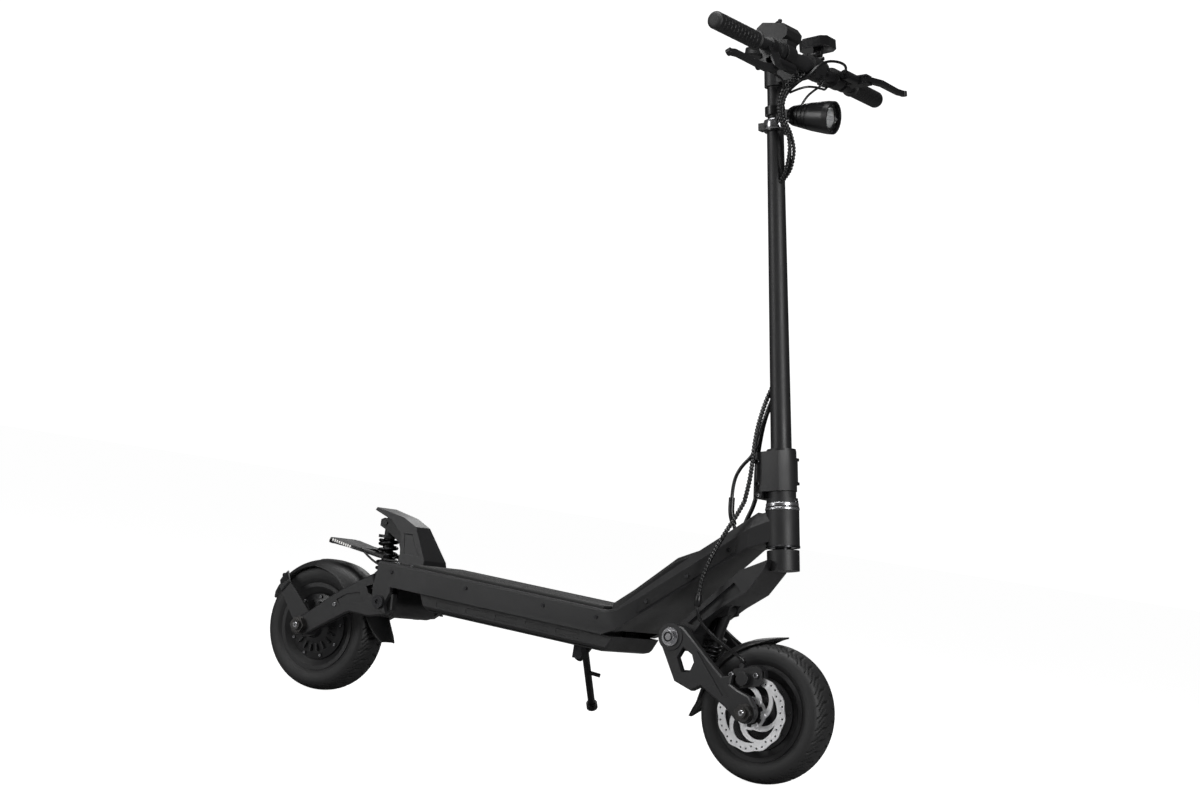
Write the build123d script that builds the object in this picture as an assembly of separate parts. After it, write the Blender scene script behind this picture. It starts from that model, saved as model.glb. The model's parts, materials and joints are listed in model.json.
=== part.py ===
from build123d import *
from math import cos, hypot, pi, radians, sin, tan
import os

# Electric kick scooter. X points forward, Y to the rider's left, Z up, in millimetres.
# The shapes are drawn from the middle of the wheelbase on the ground. As they are written
# they move by footprint_shift, which puts the origin under the middle of the whole scooter.

# ---- driving dimensions ----
wheelbase = 1026.0
tyre_radius = 127.5
tyre_width = 76.0
rim_radius = 82.0
footprint_shift = 7.75

front_x = wheelbase / 2
rear_x = -wheelbase / 2
axle_z = tyre_radius
axle_radius = 10.0
running = 0.05              # radial clearance of every running fit
arm_inner = 72.0            # the swing arms' inner faces
arm_outer = 88.0

rake = 10.92                # lean of the steering axis, degrees
steer_x, steer_z = 480.0, 500.0
deck_tilt = 1.8             # the deck falls towards the front, degrees
deck_x, deck_z = -70.0, 274.0
rail_outer, rail_inner = 100.0, 70.0
rail_height = 46.0

front_pivot = (338.0, 238.0)
front_shock_top = (400.0, 300.0)
front_shock_foot = (366.0, 173.0)
rear_pivot = (-320.0, 203.0)
rear_shock_top = (-392.0, 356.0)
rear_shock_foot = (-388.0, 220.0)
pivot_radius = 8.0

disc_radius = 70.0
disc_y = 62.5               # middle plane of both brake discs
fender_inner, fender_outer = 131.5, 134.5

fold_pin = (-38.0, 27.0)    # in the steering frame: behind the axis, above its origin
pin_radius = 4.0
bar_x, bar_z = 400.0, 1322.0
bar_end = (374.0, 332.0, 1332.0)
grip_radius = 16.5
hose_radius = 4.5

steering = Pos(steer_x, 0, steer_z) * Rot(0, -rake, 0)
deck = Pos(deck_x, 0, deck_z) * Rot(0, deck_tilt, 0)


# ---- helpers ----
def block(x0, x1, y0, y1, z0, z1):
    return Pos((x0 + x1) / 2, (y0 + y1) / 2, (z0 + z1) / 2) * Box(x1 - x0, y1 - y0, z1 - z0)


def drum(centre, radius, y0, y1):
    """A cylinder along Y whose axis passes through centre = (x, z)."""
    return Pos(centre[0], (y0 + y1) / 2, centre[1]) * Rot(90, 0, 0) * Cylinder(radius, y1 - y0)


def post(radius, z0, z1, x=0.0, y=0.0):
    return Pos(x, y, (z0 + z1) / 2) * Cylinder(radius, z1 - z0)


def plate(points, y0, y1):
    """A side-view outline of (x, z) points, made solid from y0 to y1."""
    outline = make_face(Polyline(*[(x, y1, z) for x, z in points], close=True))
    return extrude(outline, amount=y1 - y0, dir=(0, -1, 0))


def both_sides(shape):
    return shape + mirror(shape, Plane.XZ)


def station_loft(stations):
    """Straight-sided skin through outlines of (y, z) points, each on its own x plane."""
    faces = [make_face(Polyline(*[(x, y, z) for y, z in outline], close=True))
             for x, outline in stations]
    return loft(faces, ruled=True)


def spin(points, centre, arc=360.0, start=0.0):
    """Turn a (radius, y) outline about the axle at centre, from the angle start downwards."""
    x, z = centre
    outline = make_face(Polyline(*[(x + radius, y, z) for radius, y in points], close=True))
    about = Axis((x, 0, z), (0, 1, 0))
    return revolve(outline, about, arc).rotate(about, -start)


def rod(start, end, radius):
    """A round bar from one point to another."""
    path = Vector(*end) - Vector(*start)
    return Plane(origin=start, z_dir=path).location * Pos(0, 0, path.length / 2) * Cylinder(
        radius, path.length)


def around(centre, radius, angle):
    """The (x, z) point at an angle in degrees, counted up from forward, round a centre."""
    return centre[0] + radius * cos(radians(angle)), centre[1] + radius * sin(radians(angle))


def hose(name, points, radius):
    """A hose of straight runs joined by the largest arcs that its runs allow."""
    corners = [Vector(*point) for point in points]
    radii = []
    for before, corner, after in zip(corners, corners[1:], corners[2:]):
        turn = (corner - before).get_angle(after - corner)
        shorter = min((corner - before).length, (after - corner).length)
        radii.append(0.45 * shorter / tan(radians(turn) / 2))
    path = FilletPolyline(*points, radius=radii)
    section = Plane(origin=path @ 0, z_dir=path % 0) * Circle(radius)
    tube = sweep(section, path=path)
    expected = pi * radius ** 2 * path.length
    print(name, "radii", [round(r) for r in radii], "length", round(path.length),
          "volume ratio", round(tube.volume / expected, 4))
    return tube


# ---- frame ----
def deck_height(x):
    return deck_z - tan(radians(deck_tilt)) * (x - deck_x)


def rail_outline(outer, bottom, shoulder, crown, top, inner):
    """Section of the right rail: its lower outer corner first, then over the top."""
    return [(-outer, bottom), (-outer, shoulder), (-crown, top), (-inner, top), (-inner, bottom)]


rail_back, rail_front = -335.0, 196.0
neck_foot = [
    (222.0, (100.0, 231.0, 268.0, 96.0, 274.0, 70.0)),
    (255.0, (92.0, 259.0, 294.0, 78.0, 312.0, 64.0)),
    (341.0, (65.0, 334.0, 370.0, 44.0, 398.0, 38.0)),
    (438.0, (36.0, 420.0, 456.0, 22.0, 482.0, 16.0)),
]


def neck_at(x):
    """The rail's six section values at x, between the neck's stations."""
    for (x0, low), (x1, high) in zip(neck_foot, neck_foot[1:]):
        if x0 <= x <= x1:
            t = (x - x0) / (x1 - x0)
            return [a + t * (b - a) for a, b in zip(low, high)]


def rail_stations():
    stations = []
    for x in (rail_back, rail_front):
        top = deck_height(x)
        stations.append((x, (rail_outer, top - rail_height, top - 4, rail_outer - 4, top, rail_inner)))
    return stations + neck_foot


def make_chassis():
    rail = station_loft([(x, rail_outline(*values)) for x, values in rail_stations()])
    chassis = both_sides(rail)
    chassis += deck * block(rail_back - deck_x + 2, rail_front - deck_x, -71, 71, -7, 0)
    # belly plate that closes the neck from below
    belly = []
    for x, (outer, bottom, shoulder, crown, top, inner) in neck_foot:
        belly.append((x, [(-inner - 2, bottom), (inner + 2, bottom),
                          (inner + 2, bottom + 5), (-inner - 2, bottom + 5)]))
    chassis += station_loft(belly)
    # rear wall, and the bracket that holds the rear arm's pivot
    top = deck_height(rail_back)
    chassis += block(rail_back, rail_back + 12, -95, 95, top - rail_height + 0.4, top - 1)
    hook = plate([(-337, 262), (-338, 212), (-330, 190), (-301, 185), (-308, 200), (-297, 225),
                  (-302, 262)], 89.5, 100)
    chassis += both_sides(hook)
    chassis += drum((-326, 201), 28, -71.5, 71.5)
    chassis += block(-335, -300, -66, 66, 205, 262)
    # upright plates that carry the rear shock's top eye
    upright = plate([(-333, 275), (-296, 275), (-322, 340), (-376, 364), (-396, 366), (-404, 362),
                     (-404, 349), (-384, 341), (-352, 322)], 15, 20)
    chassis += both_sides(upright)
    chassis += block(-333, -300, -20, 20, 275, 284)
    chassis -= drum(rear_pivot, pivot_radius, -101, 101)
    chassis -= both_sides(drum(rear_shock_top, 5, 14, 21))
    return chassis


def make_head_tube():
    x, (outer, bottom, shoulder, crown, top, inner) = neck_foot[-1]
    stations = [
        (x, [(-outer, bottom), (-outer, shoulder), (-crown, top), (crown, top),
             (outer, shoulder), (outer, bottom)]),
        (x + 40, [(-28, 438), (-28, 478), (-20, 497), (20, 497), (28, 478), (28, 438)]),
    ]
    body = station_loft(stations)
    body += steering * post(31, -71, 4)
    body -= steering * post(20, -90, 40)
    body -= steering * post(25, -90, -61)
    body -= steering * post(25, -6, 40)
    return body


def make_headset_bearings():
    ring = post(25, -71, -61) + post(25, -6, 4)
    return steering * (ring - post(15 + running, -80, 20))


def make_deck_mat():
    back, front, half, thick = -262 - deck_x, 184 - deck_x, 84, 6.5
    mat = block(back, front, -half, half, 0, thick)
    mat = chamfer(mat.faces().sort_by(Axis.Z)[-1].edges(), 2)
    for row in range(-6, 7):
        y = row * 12
        mat -= block(back + 16, front - 16, y - 2.2, y + 2.2, thick - 2.2, thick + 1)
    # the screw rows down both sides
    for x in range(int(back) + 30, int(front), 76):
        for y in (-78.5, 78.5):
            mat -= post(3.2, 4, thick + 1, x, y)
    return deck * mat


def make_battery_box():
    profile = [(-164, -46.3), (-150, -70), (-142, -78), (262, -78), (272, -74), (285, -46.3)]
    shell = plate(profile, -86, 86)
    long_edges = shell.edges().filter_by(lambda edge: edge.length > 300 and edge.center().Z < -77)
    shell = chamfer(long_edges, 9)
    inside = plate([(-158, -46), (-146, -68), (-139, -75), (260, -75), (269, -72), (281, -46)],
                   -81, 81)
    shell -= inside
    # pressed ribs along both sides
    for y in (-86.5, 86.5):
        for x in range(-120, 230, 70):
            shell -= block(x, x + 52, y - 1.5, y + 1.5, -64, -54)
    return deck * shell


def make_battery_pack():
    pack = block(-135, 150, -63, 63, -72, -14)
    cells = pack
    for x in range(-116, 140, 19):
        cells -= block(x, x + 1.6, -64, 64, -20, -13)
    return deck * cells


def make_motor_controllers():
    unit = block(160, 258, 6, 62, -72, -40)
    for step in range(8):
        y = 10 + step * 6.6
        unit -= block(159, 259, y, y + 3, -46, -39)
    return deck * both_sides(unit)


def cover_outline(half, low, top, bevel):
    return [(-half, low), (-half, top - bevel), (-half + bevel, top), (half - bevel, top),
            (half, top - bevel), (half, low)]


def make_neck_cover():
    outside = [
        (189.0, cover_outline(62, 266.2, 280, 4)),
        (228.0, cover_outline(62, 278, 312, 8)),
        (299.0, cover_outline(46, 352, 382, 9)),
        (322.0, cover_outline(39, 372, 394, 7)),
        (341.0, cover_outline(35, 388, 403, 5)),
        (437.8, cover_outline(14, 470, 488, 3)),
    ]
    inside = [
        (192.0, cover_outline(59, 262, 277, 4)),
        (228.0, cover_outline(59, 270, 309, 8)),
        (299.0, cover_outline(43, 340, 379, 9)),
        (322.0, cover_outline(36, 360, 391, 7)),
        (341.0, cover_outline(32, 380, 400, 5)),
        (434.0, cover_outline(11, 460, 482, 3)),
    ]
    return station_loft(outside) - station_loft(inside)


def panel_screws():
    """Middle of each screw seat on the right neck panel's outer face."""
    seats = []
    for x in (275.0, 341.0, 408.0):
        outer, bottom, shoulder = neck_at(x)[:3]
        seats.append((x, -outer - 2.5, (bottom + shoulder) / 2))
    return seats


def make_neck_side_panels():
    stations = []
    for x in (262.0, 341.0, 420.0):
        outer, bottom, shoulder = neck_at(x)[:3]
        stations.append((x, [(-outer - 2.5, bottom + 5), (-outer - 2.5, shoulder - 6),
                             (-outer - 0.05, shoulder - 6), (-outer - 0.05, bottom + 5)]))
    panel = station_loft(stations)
    for x, y, z in panel_screws():
        panel -= drum((x, z), 4.2, y - 6, y + 1.3)
    return both_sides(panel)


def make_kick_plate():
    """Open shell over the rear shock: it narrows forwards, and its sides lean in."""
    outline = [(-270, deck_height(-270)), (-271, 295), (-313, 358), (-345, 373), (-409, 385),
               (-411, 379), (-370, 364), (-340, 340), (-327, 300), (-326, deck_height(-326))]
    body = plate(outline, -62, 62)
    hollow = plate([(-277, 270), (-278, 293), (-317, 351), (-347, 366), (-378, 373), (-420, 340),
                    (-420, 270)], -60, 60)
    for side in (-1, 1):
        turn = Rot(0, 0, -side * 10) * Rot(side * 18, 0, 0)
        low, high = sorted((0, side * 50))
        body -= Pos(-326, side * 46, 300) * turn * block(-140, 140, low, high, -60, 130)
        hollow -= Pos(-326, side * 40, 300) * turn * block(-140, 140, low, high, -60, 130)
    body -= hollow
    # recessed panel in each side
    for side in (-1, 1):
        turn = Rot(0, 0, -side * 10) * Rot(side * 18, 0, 0)
        low, high = sorted((-side * 1.8, side * 4))
        body -= Pos(-326, side * 46, 300) * turn * plate([(8, 2), (40, 2), (14, 44), (-4, 44)],
                                                         low, high)
    return body


def make_tail_light_bracket():
    arm = plate([(-366, 285), (-366, 292), (-460, 303), (-499, 310), (-499, 299), (-460, 296),
                 (-380, 286)], -46, 46)
    arm -= block(-430, -354, -26, 26, 270, 300)
    foot = block(-366, -328, -46, 46, 282.6, 286)
    foot -= block(-372, -290, -26, 26, 270, 300)
    return arm + foot


def make_tail_light():
    return plate([(-499.1, 309), (-505, 307), (-507, 303), (-505, 300), (-499.1, 299.5)], -45, 45)


def make_frame_screws():
    """Cap screws of the neck panels, the mat's edge and the battery box, as separate solids."""
    screws = []
    for x, y, z in panel_screws():
        screws.append(drum((x, z), 4, y - 2.2, y + 1.2))
    for x in (-300.0, -120.0, 60.0, 180.0):
        screws.append(drum((x, deck_height(x) - 16), 3.5, -rail_outer - 2.2, -rail_outer))
    solids = screws[0]
    for screw in screws[1:]:
        solids += screw
    return both_sides(solids)


def make_rear_pivot_bolt():
    bolt = drum(rear_pivot, pivot_radius - running, -100, 100)
    bolt += both_sides(drum(rear_pivot, 13, 100, 105))
    hexes = Pos(rear_pivot[0], 0, rear_pivot[1]) * Rot(90, 0, 0) * extrude(
        RegularPolygon(5, 6), amount=200, both=True)
    return bolt - (hexes & both_sides(drum(rear_pivot, 6, 102, 107)))


# ---- kickstand, on the left ----
stand_pivot = (62.0, 70.0, 177.0)
stand_foot = (36.0, 173.0, 60.0)


def stand_axis():
    """Unit vector square to the leg and to the scooter's length."""
    leg = Vector(*stand_foot) - Vector(*stand_pivot)
    axis = Vector(0, -leg.Z, leg.Y)
    return axis.normalized()


def make_kickstand_bracket():
    axis = stand_axis()
    hinge = Vector(*stand_pivot)
    body = deck * block(100, 166, 40, 84, -83, -78.2)
    body += block(stand_pivot[0] - 10, stand_pivot[0] + 10, 44, 66, 158, 191)
    body += rod(tuple(hinge - axis * 26), tuple(hinge - axis * 8), 10)
    body -= rod(tuple(hinge - axis * 7.9), tuple(hinge + axis * 40), 14)
    body += rod(tuple(hinge - axis * 24), tuple(hinge + axis * 12), 4.5)
    return body


def make_kickstand_leg():
    axis = stand_axis()
    hinge = Vector(*stand_pivot)
    foot = Vector(*stand_foot)
    down = (foot - hinge).normalized()
    leg = rod(tuple(hinge - axis * 7.5), tuple(hinge + axis * 7.5), 11)
    leg += rod(tuple(hinge + down * 6), tuple(foot - down * 10), 7)
    leg += rod(tuple(foot - down * 12), tuple(foot), 11)
    # side tab for the rider's foot
    leg += rod(tuple(hinge + down * 62), tuple(hinge + down * 74 + Vector(26, 0, 6)), 4)
    return leg - rod(tuple(hinge - axis * 30), tuple(hinge + axis * 30), 4.5 + running)


# ---- steering ----
def make_steerer():
    return steering * (post(15, -112, 31) - post(11, -113, 32))


def make_fork_arm():
    beam = plate([(437, 378), (372, 310), (318, 252), (322, 226), (352, 222), (360, 250),
                  (377, 276), (413, 308), (455, 339), (484, 384), (490, 405)], -46, 46)
    # the beam narrows towards the crown and is relieved along its sides
    for side in (-1, 1):
        slope = Pos(430, side * 46, 320) * Rot(0, 0, side * 12)
        beam -= slope * block(0, 160, 0 if side > 0 else -60, 60 if side > 0 else 0, -120, 120)
    pocket = plate([(428, 354), (376, 300), (345, 266), (362, 262), (396, 302), (446, 340)], 40, 50)
    beam -= both_sides(pocket)
    arm = beam + steering * post(30, -114.5, -76.5)
    arm += drum(front_pivot, 24, -71.5, 71.5)
    lug = plate([(384, 284), (396, 286), (412, 292), (414, 306), (430, 326), (398, 318)], 13.5, 22)
    arm += both_sides(lug)
    # slot for the shock between the lugs
    arm -= plate([(376, 302), (388, 316), (404, 318), (418, 310), (420, 290), (376, 250),
                  (360, 262)], -13.5, 13.5)
    arm -= steering * post(15, -113, -70)
    arm -= drum(front_pivot, pivot_radius, -80, 80)
    arm -= both_sides(drum(front_shock_top, 5, 13, 23))
    return arm


def make_steering_pins():
    """The front arms' pivot bolt with its domed nuts, and the fold pin: separate solids."""
    bolt = drum(front_pivot, pivot_radius - running, -98, 98)
    nut = Pos(front_pivot[0], 0, front_pivot[1]) * Rot(90, 0, 0) * extrude(
        RegularPolygon(13, 6), amount=98, both=True)
    nut -= drum(front_pivot, 20, -91, 91)
    bolt += both_sides(drum(front_pivot, 17, 90, 91.5)) + nut
    pin = drum(fold_pin, pin_radius - running, -24.6, 24.6)
    return bolt + steering * pin


def make_fold_base():
    base = post(29, 5, 19) + post(26, 19, 31)
    base += plate([(-20, 20), (-34, 20), (-38, 19), (-46, 27), (-38, 35), (-31, 31), (-20, 31)],
                  -9.5, 9.5)
    base += drum(fold_pin, 8, -9.5, 9.5)
    base -= post(15, 0, 40)
    base -= drum(fold_pin, pin_radius - running, -12, 12)
    # two pinch screws' slot at the front
    base -= block(18, 32, -1, 1, 4, 18)
    return steering * base


# ---- folding stem ----
def make_stem_tube():
    plan = [(-47, -17), (-41, -24.5), (-14, -28), (8, -28), (22, -18), (28, -6), (28, 6), (22, 18),
            (8, 28), (-14, 28), (-41, 24.5), (-47, 17)]
    body = Pos(0, 0, 32) * extrude(make_face(Polyline(*plan, close=True)), amount=74)
    body += post(27, 106, 110)
    ears = drum(fold_pin, 8, -24, 24) + block(-46, -30, -24, 24, 27, 34)
    body += ears
    body -= block(-48, -20, -10, 10, 15, 37)
    body -= drum(fold_pin, 9, -10, 10)
    tube = Pos(0, 0, 110 + 311) * Cone(19.5, 15.8, 622)
    body += tube
    body -= post(14, 40, 740)
    body -= both_sides(drum(fold_pin, pin_radius, 9, 26))
    # lugs and pin of the latch lever, on the left
    for low in (46, 90.5):
        body += block(4, 18, 22, 36.5, low, low + 5.5)
    body += post(2.45, 46, 96, 12, 31.4)
    # slot that the hoses come out of, at the back
    body -= block(-26, -11, -9.5, 9.5, 192, 238)
    return steering * body


def make_latch_lever():
    blade = block(-36, 12, 28.6, 34, 56, 86)
    blade += post(5, 52, 90, 12, 31.4)
    blade -= post(2.5, 50, 92, 12, 31.4)
    blade += block(-44, -34, 28.6, 38, 56, 86)
    return steering * blade


bar_local = (77.2, 822.3)   # the bar's middle in the steering frame


def make_bar_stem():
    """Upper post with its clamp and extension, and the collar that pinches it: two solids."""
    x, z = bar_local
    body = post(14, 690, 846)
    body += post(19, 796, 844)
    body += plate([(6, 800), (6, 842), (x - 12, z + 17), (x + 2, z + 20), (x + 2, z - 20),
                   (x - 12, z - 17)], -15, 15)
    body += drum((x, z), 22, -23, 23)
    body -= drum((x, z), 15.9, -30, 30)
    body -= post(10, 680, 790)
    # split line and bolts of the bar clamp's face plate
    body -= block(x + 4, x + 5.2, -24, 24, z - 24, z + 24)
    for side in (-16, 16):
        for height in (-18.5, 18.5):
            body += Pos(x + 6, side, z + height) * Rot(0, 90, 0) * Cylinder(3.6, 26)
    body -= drum((x, z), 15.9, -30, 30)
    collar = post(20.5, 713, 731) - post(15.95, 700, 740)
    collar += block(-32, -18, -8, 8, 715, 729)
    collar -= block(-34, -15, -0.8, 0.8, 710, 735)
    collar -= post(15.95, 700, 740)
    return steering * (body + collar)


def bar_frame(distance, droop=0.0, side=1):
    """A frame on the bar: Z outwards along it, X forwards and turned down by droop degrees."""
    start = Vector(bar_x, side * 30, bar_z)
    end = Vector(bar_end[0], side * bar_end[1], bar_end[2])
    out = (end - start).normalized()
    forward = Vector(1, 0, 0) - out * out.X
    turned = forward.normalized().rotate(Axis((0, 0, 0), out), side * droop)
    return Plane(origin=start + out * (distance - 30), x_dir=turned, z_dir=out).location


def make_handlebar():
    bar = drum((bar_x, bar_z), 15.85, -32, 32)
    hollow = drum((bar_x, bar_z), 12.5, -32, 32)
    for side in (-1, 1):
        seat = bar_frame(30, side=side)
        bar += seat * Pos(0, 0, 20) * Cone(15.85, 11.1, 40)
        bar += seat * post(11.1, 38, 296)
        hollow += seat * post(8.6, 0, 310)
    return bar - hollow


def make_grips():
    grip = post(grip_radius, 0, 140) - post(11.15, -1, 134)
    grip += post(19, 0, 4) - post(11.15, -1, 6)
    for ring in range(11):
        z = 12 + ring * 11
        groove = post(grip_radius + 1, z, z + 3) - post(grip_radius - 1.2, z - 1, z + 4)
        grip -= groove
    left = bar_frame(193) * grip
    right = bar_frame(193, side=-1) * grip
    return left + right


def perch():
    """Brake perch in the bar frame: clamp ring, arm, clevis and master cylinder."""
    body = post(17, -8, 8)
    body += block(10, 30, -9, 9, -13, 20)
    body += block(28, 53, -9, 9, -6, 22)
    body += Pos(30, 0, -34) * Cylinder(9.5, 58)
    body += Pos(28, 0, -60) * Cylinder(7, 12)
    body -= block(30, 60, -5.4, 5.4, -7, 23)
    body -= post(11.15, -20, 20)
    body -= Pos(44, 0, 4) * Rot(90, 0, 0) * Cylinder(3, 40)
    body += Pos(44, 0, 4) * Rot(90, 0, 0) * Cylinder(3, 19)
    return body


lever_droop = {1: -12.0, -1: 58.0}      # left lever level with the bar, right lever hanging
perch_place = 150.0


def make_brake_perches():
    return (bar_frame(perch_place, lever_droop[1], 1) * perch()
            + bar_frame(perch_place, lever_droop[-1], -1) * perch())


def make_brake_lever(side):
    outline = [(36, -4), (50, -4), (58, 14), (66, 50), (64, 140), (68, 164), (60, 170),
               (54, 148), (54, 60), (46, 24), (36, 14)]
    blade = extrude(make_face(Polyline(*[(u, 0, w) for u, w in outline], close=True)), amount=4.8,
                    both=True)
    blade += Pos(44, 0, 4) * Rot(90, 0, 0) * Cylinder(8.5, 9.6)
    blade -= block(28, 36.2, -6, 6, -10, 20)
    blade += Pos(64, 0, 167) * Rot(90, 0, 0) * Cylinder(6.5, 9.6)
    blade -= Pos(44, 0, 4) * Rot(90, 0, 0) * Cylinder(3 + running, 40)
    return bar_frame(perch_place, lever_droop[side], side) * blade


def make_control_housings():
    """Throttle and gauge housing on the right, switch pod on the left: separate solids."""
    right = post(20, 0, 30) + block(-22, 12, 12, 24, -2, 32)
    # key cluster over the bar
    cluster = block(-62, 6, 22, 56, -26, 29)
    cluster = chamfer(cluster.edges().filter_by(Axis.Z), 11)
    right += chamfer(cluster.faces().sort_by(Axis.Z)[0].edges(), 4)
    # round gauge behind the bar
    gauge = Pos(-49, -3, 22) * Rot(90, 0, 0) * Cylinder(28.5, 15)
    right += chamfer(gauge.edges().sort_by(Axis.Y)[0], 3)
    right += block(-34, -10, -12, 12, 4, 29)
    right -= post(11.15, -3, 40)
    left = post(19, 0, 34) + block(-27, -8, -15, 15, 1, 33)
    left -= post(11.15, -3, 40)
    left -= Pos(-24, 0, 17) * Rot(0, 90, 0) * Cylinder(6 + running, 12)
    return bar_frame(82, side=-1) * right + bar_frame(92, side=1) * left


def make_throttle_paddle():
    paddle = post(17.5, 0, 13)
    paddle += block(-46, -10, -5, 5, 1, 12)
    paddle += Pos(-44, 0, 6.5) * Rot(90, 0, 0) * Cylinder(9, 10)
    paddle -= post(11.5, -3, 40)
    return bar_frame(115, -38, side=-1) * paddle


def make_horn_button():
    return bar_frame(92, side=1) * Pos(-24.5, 0, 17) * Rot(0, 90, 0) * Cylinder(6, 9)


def make_display():
    """Dashboard on a bracket over the middle of the bar."""
    seat = Pos(386, 36, 1372) * Rot(0, -14, 0)
    case = block(-30, 32, -27, 27, -10, 11)
    case = chamfer(case.edges().filter_by(Axis.Z), 12)
    case = chamfer(case.faces().sort_by(Axis.Z)[-1].edges(), 3)
    case -= block(-21, 24, -19, 19, 9.6, 12)
    body = seat * case
    body += drum((bar_x, bar_z), 21.5, 24.5, 34.5)
    body += block(386, 402, 24.5, 34.5, 1338, 1370)
    body -= drum((bar_x, bar_z), 15.9, -50, 50)
    body -= bar_frame(30) * (Pos(0, 0, 20) * Cone(16.2, 11.5, 40))
    return body


def make_headlight():
    """Lamp shell and the arm that clamps it to the upper post."""
    profile = [(372, 0), (372, 15), (379, 19), (420, 27), (452, 31), (463, 31), (463, 27.6),
               (452, 27.6), (420, 23.5), (384, 16), (384, 0)]
    outline = make_face(Polyline(*[(x, 0, 1230 + r) for x, r in profile], close=True))
    shell = revolve(outline, Axis((0, 0, 1230), (1, 0, 0)))
    for ring in range(4):
        x = 388 + ring * 9
        groove = Pos(x, 0, 1230) * Rot(0, 90, 0) * (Cylinder(40, 2.4) - Cylinder(19 + ring * 2, 3))
        shell -= groove
    arm = steering * (post(19, 741, 757) - post(14.02, 730, 770))
    arm += block(345, 380, -7, 7, 1222, 1240)
    arm -= steering * post(14.02, 730, 770)
    return arm + shell


def make_headlight_lens():
    lens = Pos(455, 0, 1230) * Rot(0, 90, 0) * Cylinder(27.4, 5)
    return chamfer(lens.faces().sort_by(Axis.X)[-1].edges(), 1.5)


def make_stem_hoses():
    """Brake hose and wiring where they leave the stem's slot: separate solids."""
    brake = [(-13, -4.8, 228), (-25, -6, 206), (-32, -14, 178), (-36, -25, 148)]
    wiring = [(-13, 4.8, 216), (-27, 5, 193), (-41, 7, 162), (-51, 9, 124)]
    first = hose("brake hose at the stem", brake, hose_radius)
    second = hose("wiring at the stem", wiring, hose_radius)
    return steering * (first + second)


def make_neck_hoses():
    """The same two hoses past the neck: one down its right side, one into its cover."""
    brake = [(420, -26, 490), (413, -38, 474), (405, -56, 450), (395, -70, 415), (383, -75, 378),
             (376, -76, 346), (377, -76, 322)]
    wiring = [(416, 13, 500), (408, 13, 487), (403, 12, 474), (401, 12, 463)]
    return (hose("brake hose at the neck", brake, hose_radius)
            + hose("wiring at the neck", wiring, hose_radius))


# ---- wheels ----
def make_tyre(centre):
    x, z = centre
    half = tyre_width / 2

    def at(radius, y):
        return (x + radius, y, z)

    outer_right = ThreePointArc(at(91, -34), at(107, -half), at(120, -32))
    tread = ThreePointArc(at(120, -32), at(tyre_radius, 0), at(120, 32))
    outer_left = ThreePointArc(at(120, 32), at(107, half), at(91, 34))
    bead_left = Polyline(at(91, 34), at(88.3, 31), at(rim_radius + 0.1, 29.9),
                         at(rim_radius + 0.1, 24), at(90, 27))
    inner_left = ThreePointArc(at(90, 27), at(106, 31), at(116, 24))
    crown = ThreePointArc(at(116, 24), at(120.5, 0), at(116, -24))
    inner_right = ThreePointArc(at(116, -24), at(106, -31), at(90, -27))
    bead_right = Polyline(at(90, -27), at(rim_radius + 0.1, -24), at(rim_radius + 0.1, -29.9),
                          at(88.3, -31), at(91, -34))
    outline = make_face([outer_right, tread, outer_left, bead_left, inner_left, crown,
                         inner_right, bead_right])
    return revolve(outline, Axis((x, 0, z), (0, 1, 0)))


def make_hub(centre):
    """Motor shell with the rim turned on it."""
    right = [(62, -26), (66, -26), (73, -30), (80, -34), (88, -34), (88, -31.2), (rim_radius, -30),
             (rim_radius - 1, -20), (77, -16)]
    return spin(right + [(radius, -y) for radius, y in reversed(right)], centre)


def make_hub_covers(centre, disc_sides, ribbed_sides):
    """Side covers of the motor. A disc side has a long boss for the brake disc."""
    bore = axle_radius + running
    covers = None
    for side in (-1, 1):
        boss_end = disc_y - 1.4 if side in disc_sides else 52
        boss = 32 if side in disc_sides else 24
        cover = spin([(bore, 22 * side), (56, 22 * side), (61.8, 24 * side), (61.8, 26 * side),
                      (65.8, 26 * side), (65.8, 29 * side), (54, 34 * side), (34, 37 * side),
                      (boss, 42 * side), (boss - 3, boss_end * side), (bore, boss_end * side)],
                     centre)
        details = []
        for step in range(18 if side in ribbed_sides else 0):
            turn = Pos(centre[0], 0, centre[1]) * Rot(0, -20 * step - 7, 0)
            low, high = sorted((31 * side, 40.5 * side))
            details.append(turn * block(36, 51, low, high, -1.6, 1.6))
        for step in range(9):
            low, high = sorted((28 * side, 33.5 * side))
            details.append(drum(around(centre, 60, 40 * step + 10), 3.4, low, high))
        cover += details
        covers = cover if covers is None else covers + cover
    return covers


def make_motor_core(centre):
    """Fixed axle with its nuts, and the stator pressed on it: separate solids."""
    axle = drum(centre, axle_radius, -104, 104)
    stator = drum(centre, 55, -16, 16) - drum(centre, axle_radius, -17, 17)
    for step in range(18):
        turn = Pos(centre[0], 0, centre[1]) * Rot(0, step * 20, 0)
        stator -= turn * block(38, 60, -20, 20, -3, 3)
    nut = Pos(centre[0], 0, centre[1]) * Rot(90, 0, 0) * extrude(
        RegularPolygon(17, 6), amount=99, both=True)
    nuts = nut - drum(centre, 25, -arm_outer - 2.5, arm_outer + 2.5)
    washer = both_sides(drum(centre, 17, arm_outer, arm_outer + 2.5))
    return axle + nuts + washer + stator


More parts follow.
